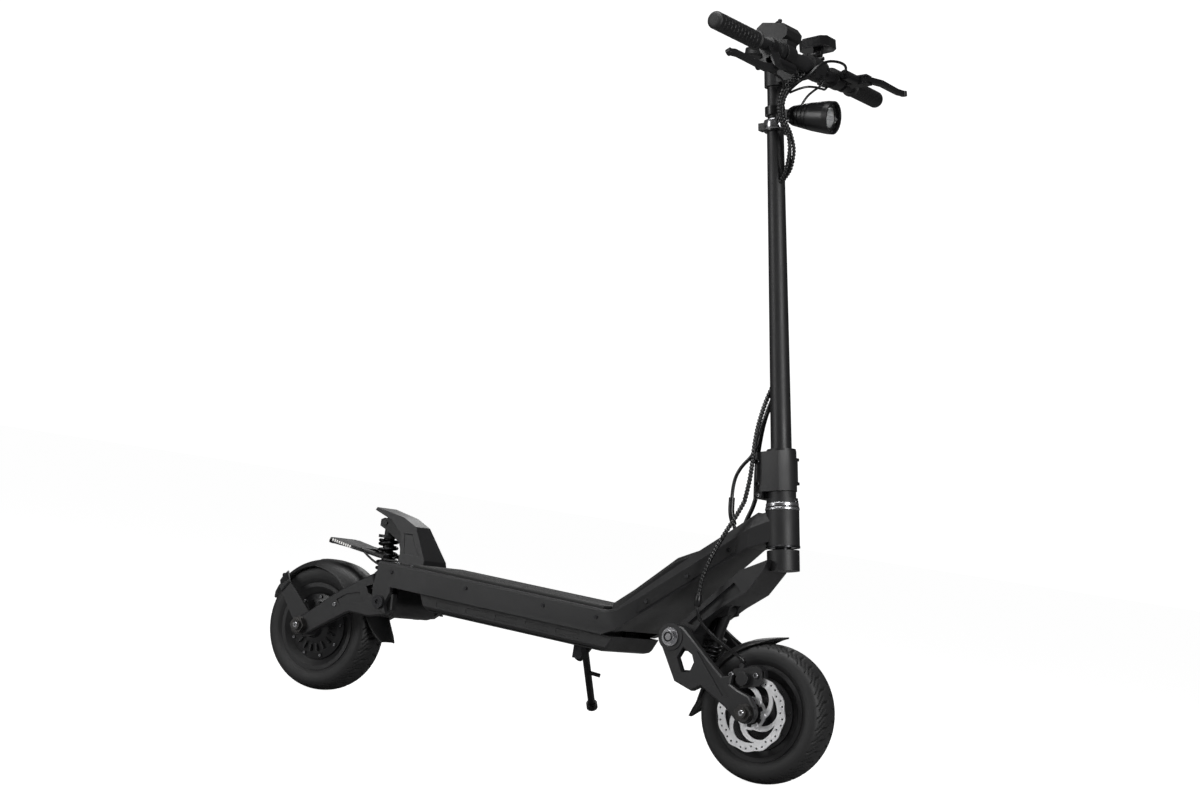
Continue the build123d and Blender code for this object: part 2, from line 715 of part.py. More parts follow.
def make_brake_disc(centre, side):
    """Wavy drilled disc with curved spokes, drawn flat and turned onto its axle."""
    low, high = disc_y - 1.25, disc_y + 1.25
    waves, spokes = 12, 6
    rim_points = []
    for step in range(waves * 4):
        angle = 2 * pi * step / (waves * 4)
        radius = disc_radius - 1.2 + 1.2 * cos(waves * angle)
        rim_points.append((radius * cos(angle), radius * sin(angle)))
    disc = extrude(make_face(Spline(*rim_points, periodic=True)), amount=high - low)
    disc -= Cylinder(53, 10)
    disc += Pos(0, 0, (high - low) / 2) * Cylinder(30, high - low)

    def polar(radius, angle):
        return radius * cos(radians(angle)), radius * sin(radians(angle))

    for spoke in range(spokes):
        turn = spoke * 360 / spokes
        lead = ThreePointArc(polar(28, turn + 16), polar(41, turn + 38), polar(54.5, turn + 76))
        trail = ThreePointArc(polar(54.5, turn + 54), polar(40, turn + 14), polar(28, turn - 14))
        outline = make_face([lead, Line(polar(54.5, turn + 76), polar(54.5, turn + 54)), trail,
                             Line(polar(28, turn - 14), polar(28, turn + 16))])
        disc += extrude(outline, amount=high - low)
        disc -= Pos(*polar(25, turn), 0) * Cylinder(2.7, 10)
    for step in range(36):
        place = polar(59 if step % 3 == 1 else 64, step * 10)
        disc -= Pos(*place, 0) * Cylinder(1.9, 10)
    disc -= Cylinder(20, 10)
    bolts = None
    for spoke in range(spokes):
        bolt = Pos(*polar(25, spoke * 60), high - low) * post(4.2, 0, 2.6)
        bolts = bolt if bolts is None else bolts + bolt
    # the flat drawing's Z becomes the outward side of the wheel
    stand = Pos(centre[0], side * low, centre[1]) * Rot(-90 * side, 0, 0)
    return stand * (disc + bolts)


def make_caliper(centre, angle, side):
    """Brake caliper over the disc's edge, with its pads inside: separate solids."""
    seat = Pos(centre[0], 0, centre[1]) * Rot(0, -angle, 0)
    outer, inner = 71.4, 46.5
    body = block(46, 82, inner, outer, -31, 31)
    body = chamfer(body.edges().filter_by(Axis.Y), 7)
    body -= block(40, 73, disc_y - 3, disc_y + 3, -40, 40)
    body -= block(48, 70, disc_y - 6, disc_y + 6, -15, 15)
    body += Pos(62, 76, 6) * Rot(90, 0, 0) * Cylinder(12.5, 9)
    body += Pos(86, (inner + outer) / 2, 12) * Rot(90, 0, 0) * Cylinder(5, 14)
    pad = block(49, 69, disc_y + 1.45, disc_y + 5.8, -14, 14)
    pads = pad + block(49, 69, disc_y - 5.8, disc_y - 1.45, -14, 14)
    caliper = seat * (body + pads)
    return caliper if side > 0 else mirror(caliper, Plane.XZ)


# ---- swing arms, fenders and shocks ----
front_centre = (front_x, axle_z)
rear_centre = (rear_x, axle_z)


def make_front_swing_arm():
    outline = [(314, 230), (358, 160), (396, 148), (415, 160), (470, 131), (497, 110), (527, 114),
               (529, 140), (515, 158), (491, 165), (474, 173), (475, 190), (455, 184), (423, 208),
               (394, 232), (361, 258), (338, 263), (318, 250)]
    arm = plate(outline, arm_inner, arm_outer)
    arm = chamfer(arm.faces().sort_by(Axis.Y)[-1].edges(), 2.5)
    arm += drum(front_pivot, 25, arm_inner, arm_outer + 1.5)
    arm += drum(front_centre, 19, arm_inner, arm_outer)
    window = plate([(367, 224), (388, 213), (394, 200), (388, 182), (371, 178), (357, 203)],
                   arm_inner - 1, arm_outer + 1)
    arm -= window
    rib = plate([(396, 222), (462, 150), (478, 150), (410, 216)], arm_outer - 2, arm_outer + 3)
    arm -= rib
    arms = both_sides(arm)
    arms += drum(front_shock_foot, 9, -arm_inner - 1, arm_inner + 1)
    arms -= drum(front_shock_foot, 20, -13, 13)
    arms += drum(front_shock_foot, 5, -14, 14)
    # square the bridge's inner ends
    arms -= drum(front_pivot, pivot_radius, -100, 100)
    arms -= drum(front_centre, axle_radius, -100, 100)
    return arms


def make_rear_swing_arm():
    outline = [(-532, 120), (-500, 110), (-409, 166), (-397, 172), (-352, 170), (-311, 178),
               (-296, 190), (-298, 222), (-318, 230), (-342, 230), (-353, 255), (-374, 243),
               (-437, 205), (-508, 150), (-530, 142)]
    arm = plate(outline, arm_inner, arm_outer)
    arm = chamfer(arm.faces().sort_by(Axis.Y)[-1].edges(), 2.5)
    arm += drum(rear_centre, 19, arm_inner, arm_outer)
    window = plate([(-364, 228), (-349, 234), (-347, 213), (-357, 215)], arm_inner - 1, arm_outer + 1)
    arm -= window
    rib = plate([(-424, 182), (-398, 190), (-362, 196), (-378, 214), (-410, 206), (-432, 192)],
                arm_outer - 2, arm_outer + 3)
    arm -= rib
    arms = both_sides(arm)
    arms += drum(rear_shock_foot, 10, -arm_inner - 1, arm_inner + 1)
    arms -= drum(rear_shock_foot, 24, -14, 14)
    arms += drum(rear_shock_foot, 5, -15, 15)
    arms -= drum(rear_pivot, pivot_radius, -101, 101)
    arms -= drum(rear_centre, axle_radius, -101, 101)
    return arms


def fender_skin(centre, start, end, inner, outer, half, skirt):
    """An arched guard with side skirts, from angle start down to angle end."""
    wall = 3.0
    outline = [(skirt, -half), (outer - 5, -half), (outer, -half + 6), (outer, half - 6),
               (outer - 5, half), (skirt, half), (skirt, half - wall), (inner - 4, half - wall),
               (inner, half - wall - 4), (inner, -half + wall + 4), (inner - 4, -half + wall),
               (skirt, -half + wall)]
    return spin(outline, centre, start - end, start)


def make_front_fender():
    guard = fender_skin(front_centre, 172, 98, fender_inner, fender_outer, 44, 120)
    # pointed tip over the front, and the flap behind
    guard += plate([(493, 261.6), (493.5, 258.3), (514, 259.5), (531, 265), (520, 273.5),
                    (506, 268)], -30, 30)
    guard += plate([(377.5, 146.5), (381.4, 146.5), (381, 112), (356, 96), (353, 99), (366, 122)],
                   -36, 36)
    stay = drum((403, 204), 4.5, 43.5, arm_inner)
    return guard + both_sides(stay)


def make_rear_fender():
    guard = fender_skin(rear_centre, 156, 90, fender_inner, fender_outer, 44, 122)
    tip = plate([(-632.5, 187.4), (-636, 180.5), (-656, 170), (-652, 166), (-634.5, 172.6),
                 (-629.8, 183.5)], -36, 36)
    cap = fender_skin(rear_centre, 96, 48, fender_outer - 1, fender_outer + 2.6, 49, 104)
    flap = plate([(-386, 172), (-383, 150), (-362, 123), (-356, 126), (-379, 152), (-381, 172)],
                 -38, 38)
    flap += block(-388, -378, -arm_inner, arm_inner, 170, 178)
    return guard + tip + cap + flap


def make_fender_strut():
    strap = plate([(-546, 137), (-532, 130), (-508, 144), (-505, 153), (-552, 196), (-572, 212),
                   (-594, 196), (-574, 172)], 69, 71.9)
    strap += drum((-524, 140), 6, 69, arm_inner)
    # the top bends in to the guard
    foot, head = Vector(-578, 70.4, 199), Vector(-603, 47.5, 218)
    along = (head - foot).normalized()
    outward = (Vector(0, 1, 0) - along * along.Y).normalized()
    length = (head - foot).length
    outline = [(-5, -14), (length - 2, -14), (length + 1, 0), (length - 2, 14), (-5, 14)]
    flat = Plane(origin=foot, x_dir=along, z_dir=outward).location
    strap += flat * extrude(make_face(Polyline(*outline, close=True)), amount=1.5, both=True)
    strap += drum((-603, 218), 4.5, 44, 49)
    return both_sides(strap)


def shock_frame(top, foot):
    """A frame at the shock's top eye with Z pointing down the shock."""
    axis = Vector(foot[0] - top[0], 0, foot[1] - top[1])
    return Plane(origin=(top[0], 0, top[1]), x_dir=(0, 1, 0), z_dir=axis).location, axis.length


def make_shock_body(top, foot, can, collar, collar_at, eye):
    seat, length = shock_frame(top, foot)
    body = Rot(0, 90, 0) * Cylinder(eye, 24)
    body += post(can, 6, length * 0.66)
    body += post(collar, collar_at, collar_at + 6)
    body -= Rot(0, 90, 0) * Cylinder(5 + running, 60)
    bolt = Rot(0, 90, 0) * Cylinder(5, 44)
    bore = post(5 + running, length * 0.66 - 44, length)
    return seat * ((body - bore) + bolt)


def make_shock_rod(top, foot, collar, eye, half):
    seat, length = shock_frame(top, foot)
    rod_part = post(5, length * 0.66 - 26, length - 6)
    rod_part += Pos(0, 0, length) * Rot(0, 90, 0) * Cylinder(eye, 2 * half)
    rod_part += post(collar, length - eye - 7, length - eye - 1.5)
    rod_part -= Pos(0, 0, length) * Rot(0, 90, 0) * Cylinder(6, 60)
    return seat * rod_part


def make_shock_spring(top, foot, radius, wire, start, end, turns):
    seat, length = shock_frame(top, foot)
    height = end - start - 2 * wire
    coil = Helix(height / turns, height, radius)
    section = Plane(origin=coil @ 0, z_dir=coil % 0) * Circle(wire)
    spring = sweep(section, path=coil, is_frenet=True)
    return seat * Pos(0, 0, start + wire) * spring


def make_brake_hose_lower():
    route = [(377, -79, 300), (384, -80, 284), (400, -80, 266), (428, -78, 248), (458, -72, 232),
             (478, -64, 221)]
    return hose("brake hose at the arm", route, hose_radius)


# ---- write every piece ----
front_length = hypot(front_shock_top[0] - front_shock_foot[0], front_shock_top[1] - front_shock_foot[1])
rear_length = hypot(rear_shock_top[0] - rear_shock_foot[0], rear_shock_top[1] - rear_shock_foot[1])

pieces = {
    "chassis": make_chassis(),
    "head_tube": make_head_tube(),
    "headset_bearings": make_headset_bearings(),
    "deck_mat": make_deck_mat(),
    "battery_box": make_battery_box(),
    "battery_pack": make_battery_pack(),
    "motor_controllers": make_motor_controllers(),
    "neck_cover": make_neck_cover(),
    "neck_side_panels": make_neck_side_panels(),
    "kick_plate": make_kick_plate(),
    "tail_light_bracket": make_tail_light_bracket(),
    "tail_light": make_tail_light(),
    "frame_screws": make_frame_screws(),
    "rear_pivot_bolt": make_rear_pivot_bolt(),
    "kickstand_bracket": make_kickstand_bracket(),
    "kickstand_leg": make_kickstand_leg(),
    "steerer": make_steerer(),
    "fork_arm": make_fork_arm(),
    "steering_pins": make_steering_pins(),
    "fold_base": make_fold_base(),
    "stem_tube": make_stem_tube(),
    "latch_lever": make_latch_lever(),
    "bar_stem": make_bar_stem(),
    "handlebar": make_handlebar(),
    "grips": make_grips(),
    "brake_perches": make_brake_perches(),
    "brake_lever_left": make_brake_lever(1),
    "brake_lever_right": make_brake_lever(-1),
    "control_housings": make_control_housings(),
    "throttle_paddle": make_throttle_paddle(),
    "horn_button": make_horn_button(),
    "display": make_display(),
    "headlight": make_headlight(),
    "headlight_lens": make_headlight_lens(),
    "stem_hoses": make_stem_hoses(),
    "neck_hoses": make_neck_hoses(),
    "brake_hose_lower": make_brake_hose_lower(),
    "front_swing_arm": make_front_swing_arm(),
    "front_fender": make_front_fender(),
    "front_caliper": make_caliper(front_centre, 104, -1),
    "rear_swing_arm": make_rear_swing_arm(),
    "rear_fender": make_rear_fender(),
    "fender_strut": make_fender_strut(),
    "rear_caliper": make_caliper(rear_centre, 62, 1),
    "front_shock_body": make_shock_body(front_shock_top, front_shock_foot, 10, 19, 52, 11),
    "front_shock_rod": make_shock_rod(front_shock_top, front_shock_foot, 15.5, 11, 12),
    "front_shock_spring": make_shock_spring(front_shock_top, front_shock_foot, 14.5, 2.7, 59,
                                            front_length - 18.6, 5),
    "rear_shock_body": make_shock_body(rear_shock_top, rear_shock_foot, 11, 22, 24, 11),
    "rear_shock_rod": make_shock_rod(rear_shock_top, rear_shock_foot, 21, 11, 13),
    "rear_shock_spring": make_shock_spring(rear_shock_top, rear_shock_foot, 17.5, 3.2, 31,
                                           rear_length - 18.8, 7),
}
for name, centre, disc_side, ribbed in (("front", front_centre, -1, (1,)),
                                        ("rear", rear_centre, 1, (-1,))):
    pieces[name + "_tyre"] = make_tyre(centre)
    pieces[name + "_hub"] = make_hub(centre)
    pieces[name + "_hub_covers"] = make_hub_covers(centre, (disc_side,), ribbed)
    pieces[name + "_motor_core"] = make_motor_core(centre)
    pieces[name + "_brake_disc"] = make_brake_disc(centre, disc_side)

os.makedirs("parts", exist_ok=True)
for name, piece in pieces.items():
    export_step(Pos(footprint_shift, 0, 0) * piece, "parts/" + name + ".step")
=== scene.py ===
import json
import bpy
import bmesh
import numpy as np
from mathutils import Matrix, Vector

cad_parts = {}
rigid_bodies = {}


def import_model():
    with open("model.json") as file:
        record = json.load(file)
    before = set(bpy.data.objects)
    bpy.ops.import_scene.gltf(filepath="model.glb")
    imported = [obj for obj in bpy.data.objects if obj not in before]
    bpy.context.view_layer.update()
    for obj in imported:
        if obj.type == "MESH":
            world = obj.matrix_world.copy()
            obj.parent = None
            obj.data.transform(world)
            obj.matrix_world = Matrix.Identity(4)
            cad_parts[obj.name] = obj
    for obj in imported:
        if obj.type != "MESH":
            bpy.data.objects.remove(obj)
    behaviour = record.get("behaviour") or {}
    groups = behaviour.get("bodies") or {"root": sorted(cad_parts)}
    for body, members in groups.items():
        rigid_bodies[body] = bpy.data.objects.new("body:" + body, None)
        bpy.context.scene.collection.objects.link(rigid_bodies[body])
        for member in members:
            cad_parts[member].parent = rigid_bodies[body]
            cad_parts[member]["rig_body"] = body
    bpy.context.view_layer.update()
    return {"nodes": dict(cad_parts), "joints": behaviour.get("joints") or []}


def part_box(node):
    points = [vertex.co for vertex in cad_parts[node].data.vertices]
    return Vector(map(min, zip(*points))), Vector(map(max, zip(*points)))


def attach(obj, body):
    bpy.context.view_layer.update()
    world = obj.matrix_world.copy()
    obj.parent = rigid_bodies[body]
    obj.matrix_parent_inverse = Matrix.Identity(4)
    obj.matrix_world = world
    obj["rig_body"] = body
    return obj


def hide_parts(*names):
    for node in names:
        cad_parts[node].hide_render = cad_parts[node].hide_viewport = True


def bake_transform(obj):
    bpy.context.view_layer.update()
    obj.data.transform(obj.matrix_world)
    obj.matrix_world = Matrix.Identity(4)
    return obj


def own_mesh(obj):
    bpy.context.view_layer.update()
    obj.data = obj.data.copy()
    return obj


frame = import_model()
nodes = frame["nodes"]
print("frame loaded:", len(nodes), "nodes")


def boxMiddle(node):
    low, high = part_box(node)
    return np.array((low + high) / 2)


# places are given in millimetres from the middle of the wheelbase, on the floor
frontAxle, rearAxle = boxMiddle("front_hub"), boxMiddle("rear_hub")
middleX = (frontAxle[0] + rearAxle[0]) / 2
lean = np.radians(10.92)                        # rake of the steering axis
steeringFoot = np.array([480.0, 0.0, 500.0])


def at(points):
    # millimetres to frame metres, moved so that the middle of the wheelbase is where the frame has it
    return np.atleast_2d(np.asarray(points, float)) * 0.001 + [middleX, 0, 0]


def steer(points):
    # millimetres along the steering axis' own directions, turned back by the rake
    p = np.atleast_2d(np.asarray(points, float))
    x = p[:, 0] * np.cos(lean) - p[:, 2] * np.sin(lean)
    z = p[:, 0] * np.sin(lean) + p[:, 2] * np.cos(lean)
    return at(np.stack([x, p[:, 1], z], 1) + steeringFoot)


def unit(v):
    v = np.asarray(v, float)
    return v / np.maximum(np.linalg.norm(v, axis=-1, keepdims=True), 1e-12)


def barPlace(side, distance, droop=0.0):
    # a point on the handlebar with its forward, upward and outward directions
    start, end = np.array([400, side * 30, 1322.0]), np.array([374, side * 332, 1332.0])
    out = unit(end - start)
    forward = unit(np.array([1, 0, 0]) - out * out[0])
    turn = np.radians(side * droop)
    forward = forward * np.cos(turn) + np.cross(out, forward) * np.sin(turn)
    return start + out * (distance - 30), forward, np.cross(out, forward) * -side, out


def gridPart(grid, closeAlong=False, closeAround=False, caps=False):
    # rows by columns of points, joined by quads between neighbours
    rows, columns = grid.shape[:2]
    index = np.arange(rows * columns).reshape(rows, columns)
    first, last = index[0].tolist(), index[-1].tolist()
    if closeAlong:
        index = np.vstack([index, index[:1]])
    if closeAround:
        index = np.hstack([index, index[:, :1]])
    quads = np.stack([index[:-1, :-1], index[:-1, 1:], index[1:, 1:], index[1:, :-1]], -1)
    faces = quads.reshape(-1, 4).tolist()
    if caps:
        faces += [first[::-1], last]
    return grid.reshape(-1, 3), faces


def spinPart(profile, origin, axis, around=48, closed=False, ripple=None):
    # radius and height pairs turned about an axis; ripple adds to the radius by angle and row
    profile = np.asarray(profile, float) * 0.001
    axis = unit(axis)
    first = unit(np.cross(axis, [0.31, 0.57, 0.76]))
    second = np.cross(axis, first)
    angle = np.linspace(0, 2 * np.pi, around, endpoint=False)
    radius = np.repeat(profile[:, :1], around, 1)
    if ripple is not None:
        radius = radius + ripple(np.arange(len(profile))[:, None], angle[None, :])
    ring = np.cos(angle)[:, None] * first + np.sin(angle)[:, None] * second
    grid = np.asarray(origin) + profile[:, 1][:, None, None] * axis + radius[..., None] * ring
    return gridPart(grid, closeAlong=closed, closeAround=True)


def smoothLine(points, gap=0.0015):
    # the route's own NURBS line, read back as points and spaced evenly along its length
    curve = bpy.data.curves.new("line", "CURVE")
    curve.dimensions = "3D"
    spline = curve.splines.new("NURBS")
    spline.points.add(len(points) - 1)
    spline.points.foreach_set("co", np.hstack([points, np.ones((len(points), 1))]).ravel())
    spline.order_u = 3
    spline.use_endpoint_u = True
    spline.resolution_u = 24
    holder = bpy.data.objects.new("line", curve)
    bpy.context.scene.collection.objects.link(holder)
    mesh = bpy.data.meshes.new_from_object(holder)
    line = np.zeros(len(mesh.vertices) * 3)
    mesh.vertices.foreach_get("co", line)
    line = line.reshape(-1, 3)
    bpy.data.objects.remove(holder)
    run = np.concatenate([[0], np.cumsum(np.linalg.norm(np.diff(line, axis=0), axis=1))])
    even = np.linspace(0, run[-1], max(8, int(run[-1] / gap)))
    return np.stack([np.interp(even, run, line[:, k]) for k in range(3)], 1)


def tubePart(line, radius, around=16, beside=(0, 1, 0), wrap=None):
    # circles square to a line; wrap = (pitch, height) adds a ridge that winds round it
    tangent = unit(np.gradient(line, axis=0))
    across = unit(np.cross(tangent, beside))
    over = np.cross(across, tangent)
    turn = np.linspace(0, 2 * np.pi, around, endpoint=False)
    size = np.full((len(line), around), radius * 0.001)
    if wrap:
        run = np.concatenate([[0], np.cumsum(np.linalg.norm(np.diff(line, axis=0), axis=1))])
        phase = run[:, None] / (wrap[0] * 0.001) * 2 * np.pi - turn
        size = size + wrap[1] * 0.001 * (np.clip(np.cos(phase) * 2.2, -1, 1) - 1)
    ring = across[:, None] * np.cos(turn)[:, None] + over[:, None] * np.sin(turn)[:, None]
    return gridPart(line[:, None] + ring * size[..., None], closeAround=True, caps=True)


def pillowPart(middle, axes, halves, power=0.35, rows=14, columns=24):
    # rounded block: sines and cosines of two angles raised to a low power, scaled by three half sizes
    u = np.linspace(-np.pi / 2, np.pi / 2, rows)[:, None]
    v = np.linspace(-np.pi, np.pi, columns, endpoint=False)[None, :]

    def bent(value):
        return np.sign(value) * np.abs(value) ** power

    x, y, z = bent(np.cos(u)) * bent(np.cos(v)), bent(np.cos(u)) * bent(np.sin(v)), bent(np.sin(u)) + 0 * v
    axes = unit(np.asarray(axes, float))
    grid = (np.asarray(middle) + x[..., None] * axes[0] * halves[0] * 0.001
            + y[..., None] * axes[1] * halves[1] * 0.001 + z[..., None] * axes[2] * halves[2] * 0.001)
    return gridPart(grid, closeAround=True)


def screwPart(middle, axis, radius=4.0, height=3.2):
    # cap screw: a low turned head with a round socket
    profile = [(0, height * 0.35), (radius * 0.48, height * 0.35), (radius * 0.52, height),
               (radius * 0.86, height), (radius, height * 0.8), (radius, -0.6)]
    return spinPart(profile, middle, axis, around=12)


def makePiece(name, parts, body, material, replaced=(), sharp=35.0):
    # gathers parts into one mesh, closes its seams and turns its faces outwards
    points, faces, count = [], [], 0
    for verts, polygons in parts:
        points.append(verts)
        faces += [[i + count for i in polygon] for polygon in polygons]
        count += len(verts)
    mesh = bpy.data.meshes.new(name)
    mesh.from_pydata(np.vstack(points).tolist(), [], faces)
    work = bmesh.new()
    work.from_mesh(mesh)
    bmesh.ops.remove_doubles(work, verts=work.verts, dist=2e-6)
    bmesh.ops.recalc_face_normals(work, faces=work.faces)
    limit = np.radians(sharp)
    for edge in work.edges:
        edge.smooth = bool(len(edge.link_faces) != 2 or edge.calc_face_angle(0) < limit)
    work.to_mesh(mesh)
    work.free()
    mesh.polygons.foreach_set("use_smooth", [True] * len(mesh.polygons))
    piece = bpy.data.objects.new(name, mesh)
    bpy.context.scene.collection.objects.link(piece)
    mesh.materials.append(material)
    if body:
        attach(piece, body)
    if replaced:
        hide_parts(*replaced)
    return piece


def softenNode(node, material, width=0.9, segments=2, angle=28.0):
    # a merged copy of a CAD node whose hard edges are rounded off, standing in for the node
    source = nodes[node].data
    points = np.zeros(len(source.vertices) * 3)
    source.vertices.foreach_get("co", points)
    corners = np.zeros(len(source.loops), int)
    source.loops.foreach_get("vertex_index", corners)
    mesh = bpy.data.meshes.new(node + ".soft")
    mesh.from_pydata(points.reshape(-1, 3).tolist(), [], corners.reshape(-1, 3).tolist())
    work = bmesh.new()
    work.from_mesh(mesh)
    bmesh.ops.remove_doubles(work, verts=work.verts, dist=4e-6)
    bmesh.ops.dissolve_limit(work, angle_limit=np.radians(0.6), verts=work.verts, edges=work.edges)
    work.to_mesh(mesh)
    work.free()
    mesh.polygons.foreach_set("use_smooth", [True] * len(mesh.polygons))
    piece = bpy.data.objects.new(node + ".soft", mesh)
    bpy.context.scene.collection.objects.link(piece)
    mesh.materials.append(material)
    bevel = piece.modifiers.new("softEdge", "BEVEL")
    bevel.width = width * 0.001
    bevel.segments = segments
    bevel.limit_method = "ANGLE"
    bevel.angle_limit = np.radians(angle)
    bevel.harden_normals = True
    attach(piece, nodes[node]["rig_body"])
    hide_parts(node)
    return piece


def newGroup(name, inputs, outputs):
    tree = bpy.data.node_groups.new(name, "ShaderNodeTree")
    for label, kind, value in inputs:
        tree.interface.new_socket(label, in_out="INPUT", socket_type="NodeSocket"
                                  + kind).default_value = value
    for label, kind in outputs:
        tree.interface.new_socket(label, in_out="OUTPUT", socket_type="NodeSocket" + kind)
    return tree, tree.nodes.new("NodeGroupInput"), tree.nodes.new("NodeGroupOutput")


def mathNode(tree, operation, *values):
    node = tree.nodes.new("ShaderNodeMath")
    node.operation = operation
    for socket, value in zip(node.inputs, values):
        if isinstance(value, (int, float)):
            socket.default_value = value
        else:
            tree.links.new(value, socket)
    return node.outputs[0]


def noiseNode(tree, vector, scale, detail=3.0):
    node = tree.nodes.new("ShaderNodeTexNoise")
    node.inputs["Detail"].default_value = detail
    tree.links.new(vector, node.inputs["Vector"])
    if isinstance(scale, (int, float)):
        node.inputs["Scale"].default_value = scale
    else:
        tree.links.new(scale, node.inputs["Scale"])
    return node.outputs["Fac"]


def mixColours(tree, mask, first, second):
    node = tree.nodes.new("ShaderNodeMix")
    node.data_type = "RGBA"
    tree.links.new(mask, node.inputs[0])
    for socket, value in ((node.inputs[6], first), (node.inputs[7], second)):
        if isinstance(value, tuple):
            socket.default_value = (*value, 1)
        else:
            tree.links.new(value, socket)
    return node.outputs[2]


def surfaceGrainGroup():
    # fine grain for bump, broad clouds for tone, and a roughness that follows both
    tree, inside, outside = newGroup(
        "surfaceGrain",
        [("Colour", "Color", (0.02, 0.02, 0.02, 1)), ("Tone Spread", "Float", 0.3),
         ("Grain Size", "Float", 900.0),
         ("Grain Depth", "Float", 0.2), ("Rough Low", "Float", 0.4), ("Rough High", "Float", 0.55)],
        [("Colour", "Color"), ("Roughness", "Float"), ("Normal", "Vector")])
    place = tree.nodes.new("ShaderNodeTexCoord").outputs["Object"]
    fine = noiseNode(tree, place, inside.outputs["Grain Size"], 2.0)
    broad = noiseNode(tree, place, 11.0, 5.0)
    mixed = mathNode(tree, "ADD", mathNode(tree, "MULTIPLY", fine, 0.35),
                     mathNode(tree, "MULTIPLY", broad, 0.65))
    spread = tree.nodes.new("ShaderNodeMapRange")
    tree.links.new(mixed, spread.inputs["Value"])
    spread.inputs["From Min"].default_value = 0.36
    spread.inputs["From Max"].default_value = 0.64
    tree.links.new(inside.outputs["Rough Low"], spread.inputs["To Min"])
    tree.links.new(inside.outputs["Rough High"], spread.inputs["To Max"])
    tone = mathNode(tree, "ADD", 1.0, mathNode(tree, "MULTIPLY", mathNode(tree, "SUBTRACT", mixed, 0.5),
                                               inside.outputs["Tone Spread"]))
    scaled = tree.nodes.new("ShaderNodeVectorMath")
    scaled.operation = "SCALE"
    tree.links.new(inside.outputs["Colour"], scaled.inputs[0])
    tree.links.new(tone, scaled.inputs["Scale"])
    bump = tree.nodes.new("ShaderNodeBump")
    bump.inputs["Distance"].default_value = 0.0004
    tree.links.new(inside.outputs["Grain Depth"], bump.inputs["Strength"])
    tree.links.new(fine, bump.inputs["Height"])
    tree.links.new(scaled.outputs[0], outside.inputs["Colour"])
    tree.links.new(spread.outputs["Result"], outside.inputs["Roughness"])
    tree.links.new(bump.outputs[0], outside.inputs["Normal"])
    return tree


def settledDustGroup():
    # a pale film where the surface faces up, broken by clouds
    tree, inside, outside = newGroup(
        "settledDust",
        [("Colour", "Color", (0, 0, 0, 1)), ("Roughness", "Float", 0.5),
         ("Dust Colour", "Color", (0.25, 0.24, 0.23, 1)),
         ("Amount", "Float", 0.1)],
        [("Colour", "Color"), ("Roughness", "Float")])
    coord = tree.nodes.new("ShaderNodeTexCoord")
    parts = tree.nodes.new("ShaderNodeSeparateXYZ")
    tree.links.new(coord.outputs["Normal"], parts.inputs[0])
    facing = mathNode(tree, "POWER", mathNode(tree, "MAXIMUM", parts.outputs["Z"], 0.0), 1.5)
    clouds = noiseNode(tree, coord.outputs["Object"], 34.0, 6.0)
    mask = mathNode(tree, "MULTIPLY", mathNode(tree, "MULTIPLY", mathNode(tree, "ADD", facing, 0.25),
                                               clouds),
                    inside.outputs["Amount"])
    colour = mixColours(tree, mask, inside.outputs["Colour"], inside.outputs["Dust Colour"])
    rough = mathNode(tree, "ADD", inside.outputs["Roughness"], mathNode(tree, "MULTIPLY", mask, 0.5))
    tree.links.new(colour, outside.inputs["Colour"])
    tree.links.new(rough, outside.inputs["Roughness"])
    return tree


def turnedRingsGroup():
    # fine circular tool marks about the Y axis of a centred pattern
    tree, inside, outside = newGroup(
        "turnedRings",
        [("Vector", "Vector", (0, 0, 0)), ("Rings", "Float", 3000.0), ("Depth", "Float", 0.3),
         ("Roughness", "Float", 0.3)],
        [("Roughness", "Float"), ("Normal", "Vector")])
    parts = tree.nodes.new("ShaderNodeSeparateXYZ")
    tree.links.new(inside.outputs["Vector"], parts.inputs[0])
    squares = mathNode(tree, "ADD", mathNode(tree, "MULTIPLY", parts.outputs["X"], parts.outputs["X"]),
                       mathNode(tree, "MULTIPLY", parts.outputs["Z"], parts.outputs["Z"]))
    radius = mathNode(tree, "SQRT", squares)
    marks = mathNode(tree, "SINE", mathNode(tree, "MULTIPLY", radius, inside.outputs["Rings"]))
    clouds = noiseNode(tree, inside.outputs["Vector"], 160.0, 4.0)
    height = mathNode(tree, "ADD", mathNode(tree, "MULTIPLY", marks, 0.5), clouds)
    bump = tree.nodes.new("ShaderNodeBump")
    bump.inputs["Distance"].default_value = 0.0002
    tree.links.new(inside.outputs["Depth"], bump.inputs["Strength"])
    tree.links.new(height, bump.inputs["Height"])
    rough = mathNode(tree, "ADD", inside.outputs["Roughness"],
                     mathNode(tree, "MULTIPLY", mathNode(tree, "SUBTRACT", clouds, 0.5), 0.3))
    tree.links.new(rough, outside.inputs["Roughness"])
    tree.links.new(bump.outputs[0], outside.inputs["Normal"])
    return tree


grainGroup, dustGroup, ringsGroup = surfaceGrainGroup(), settledDustGroup(), turnedRingsGroup()


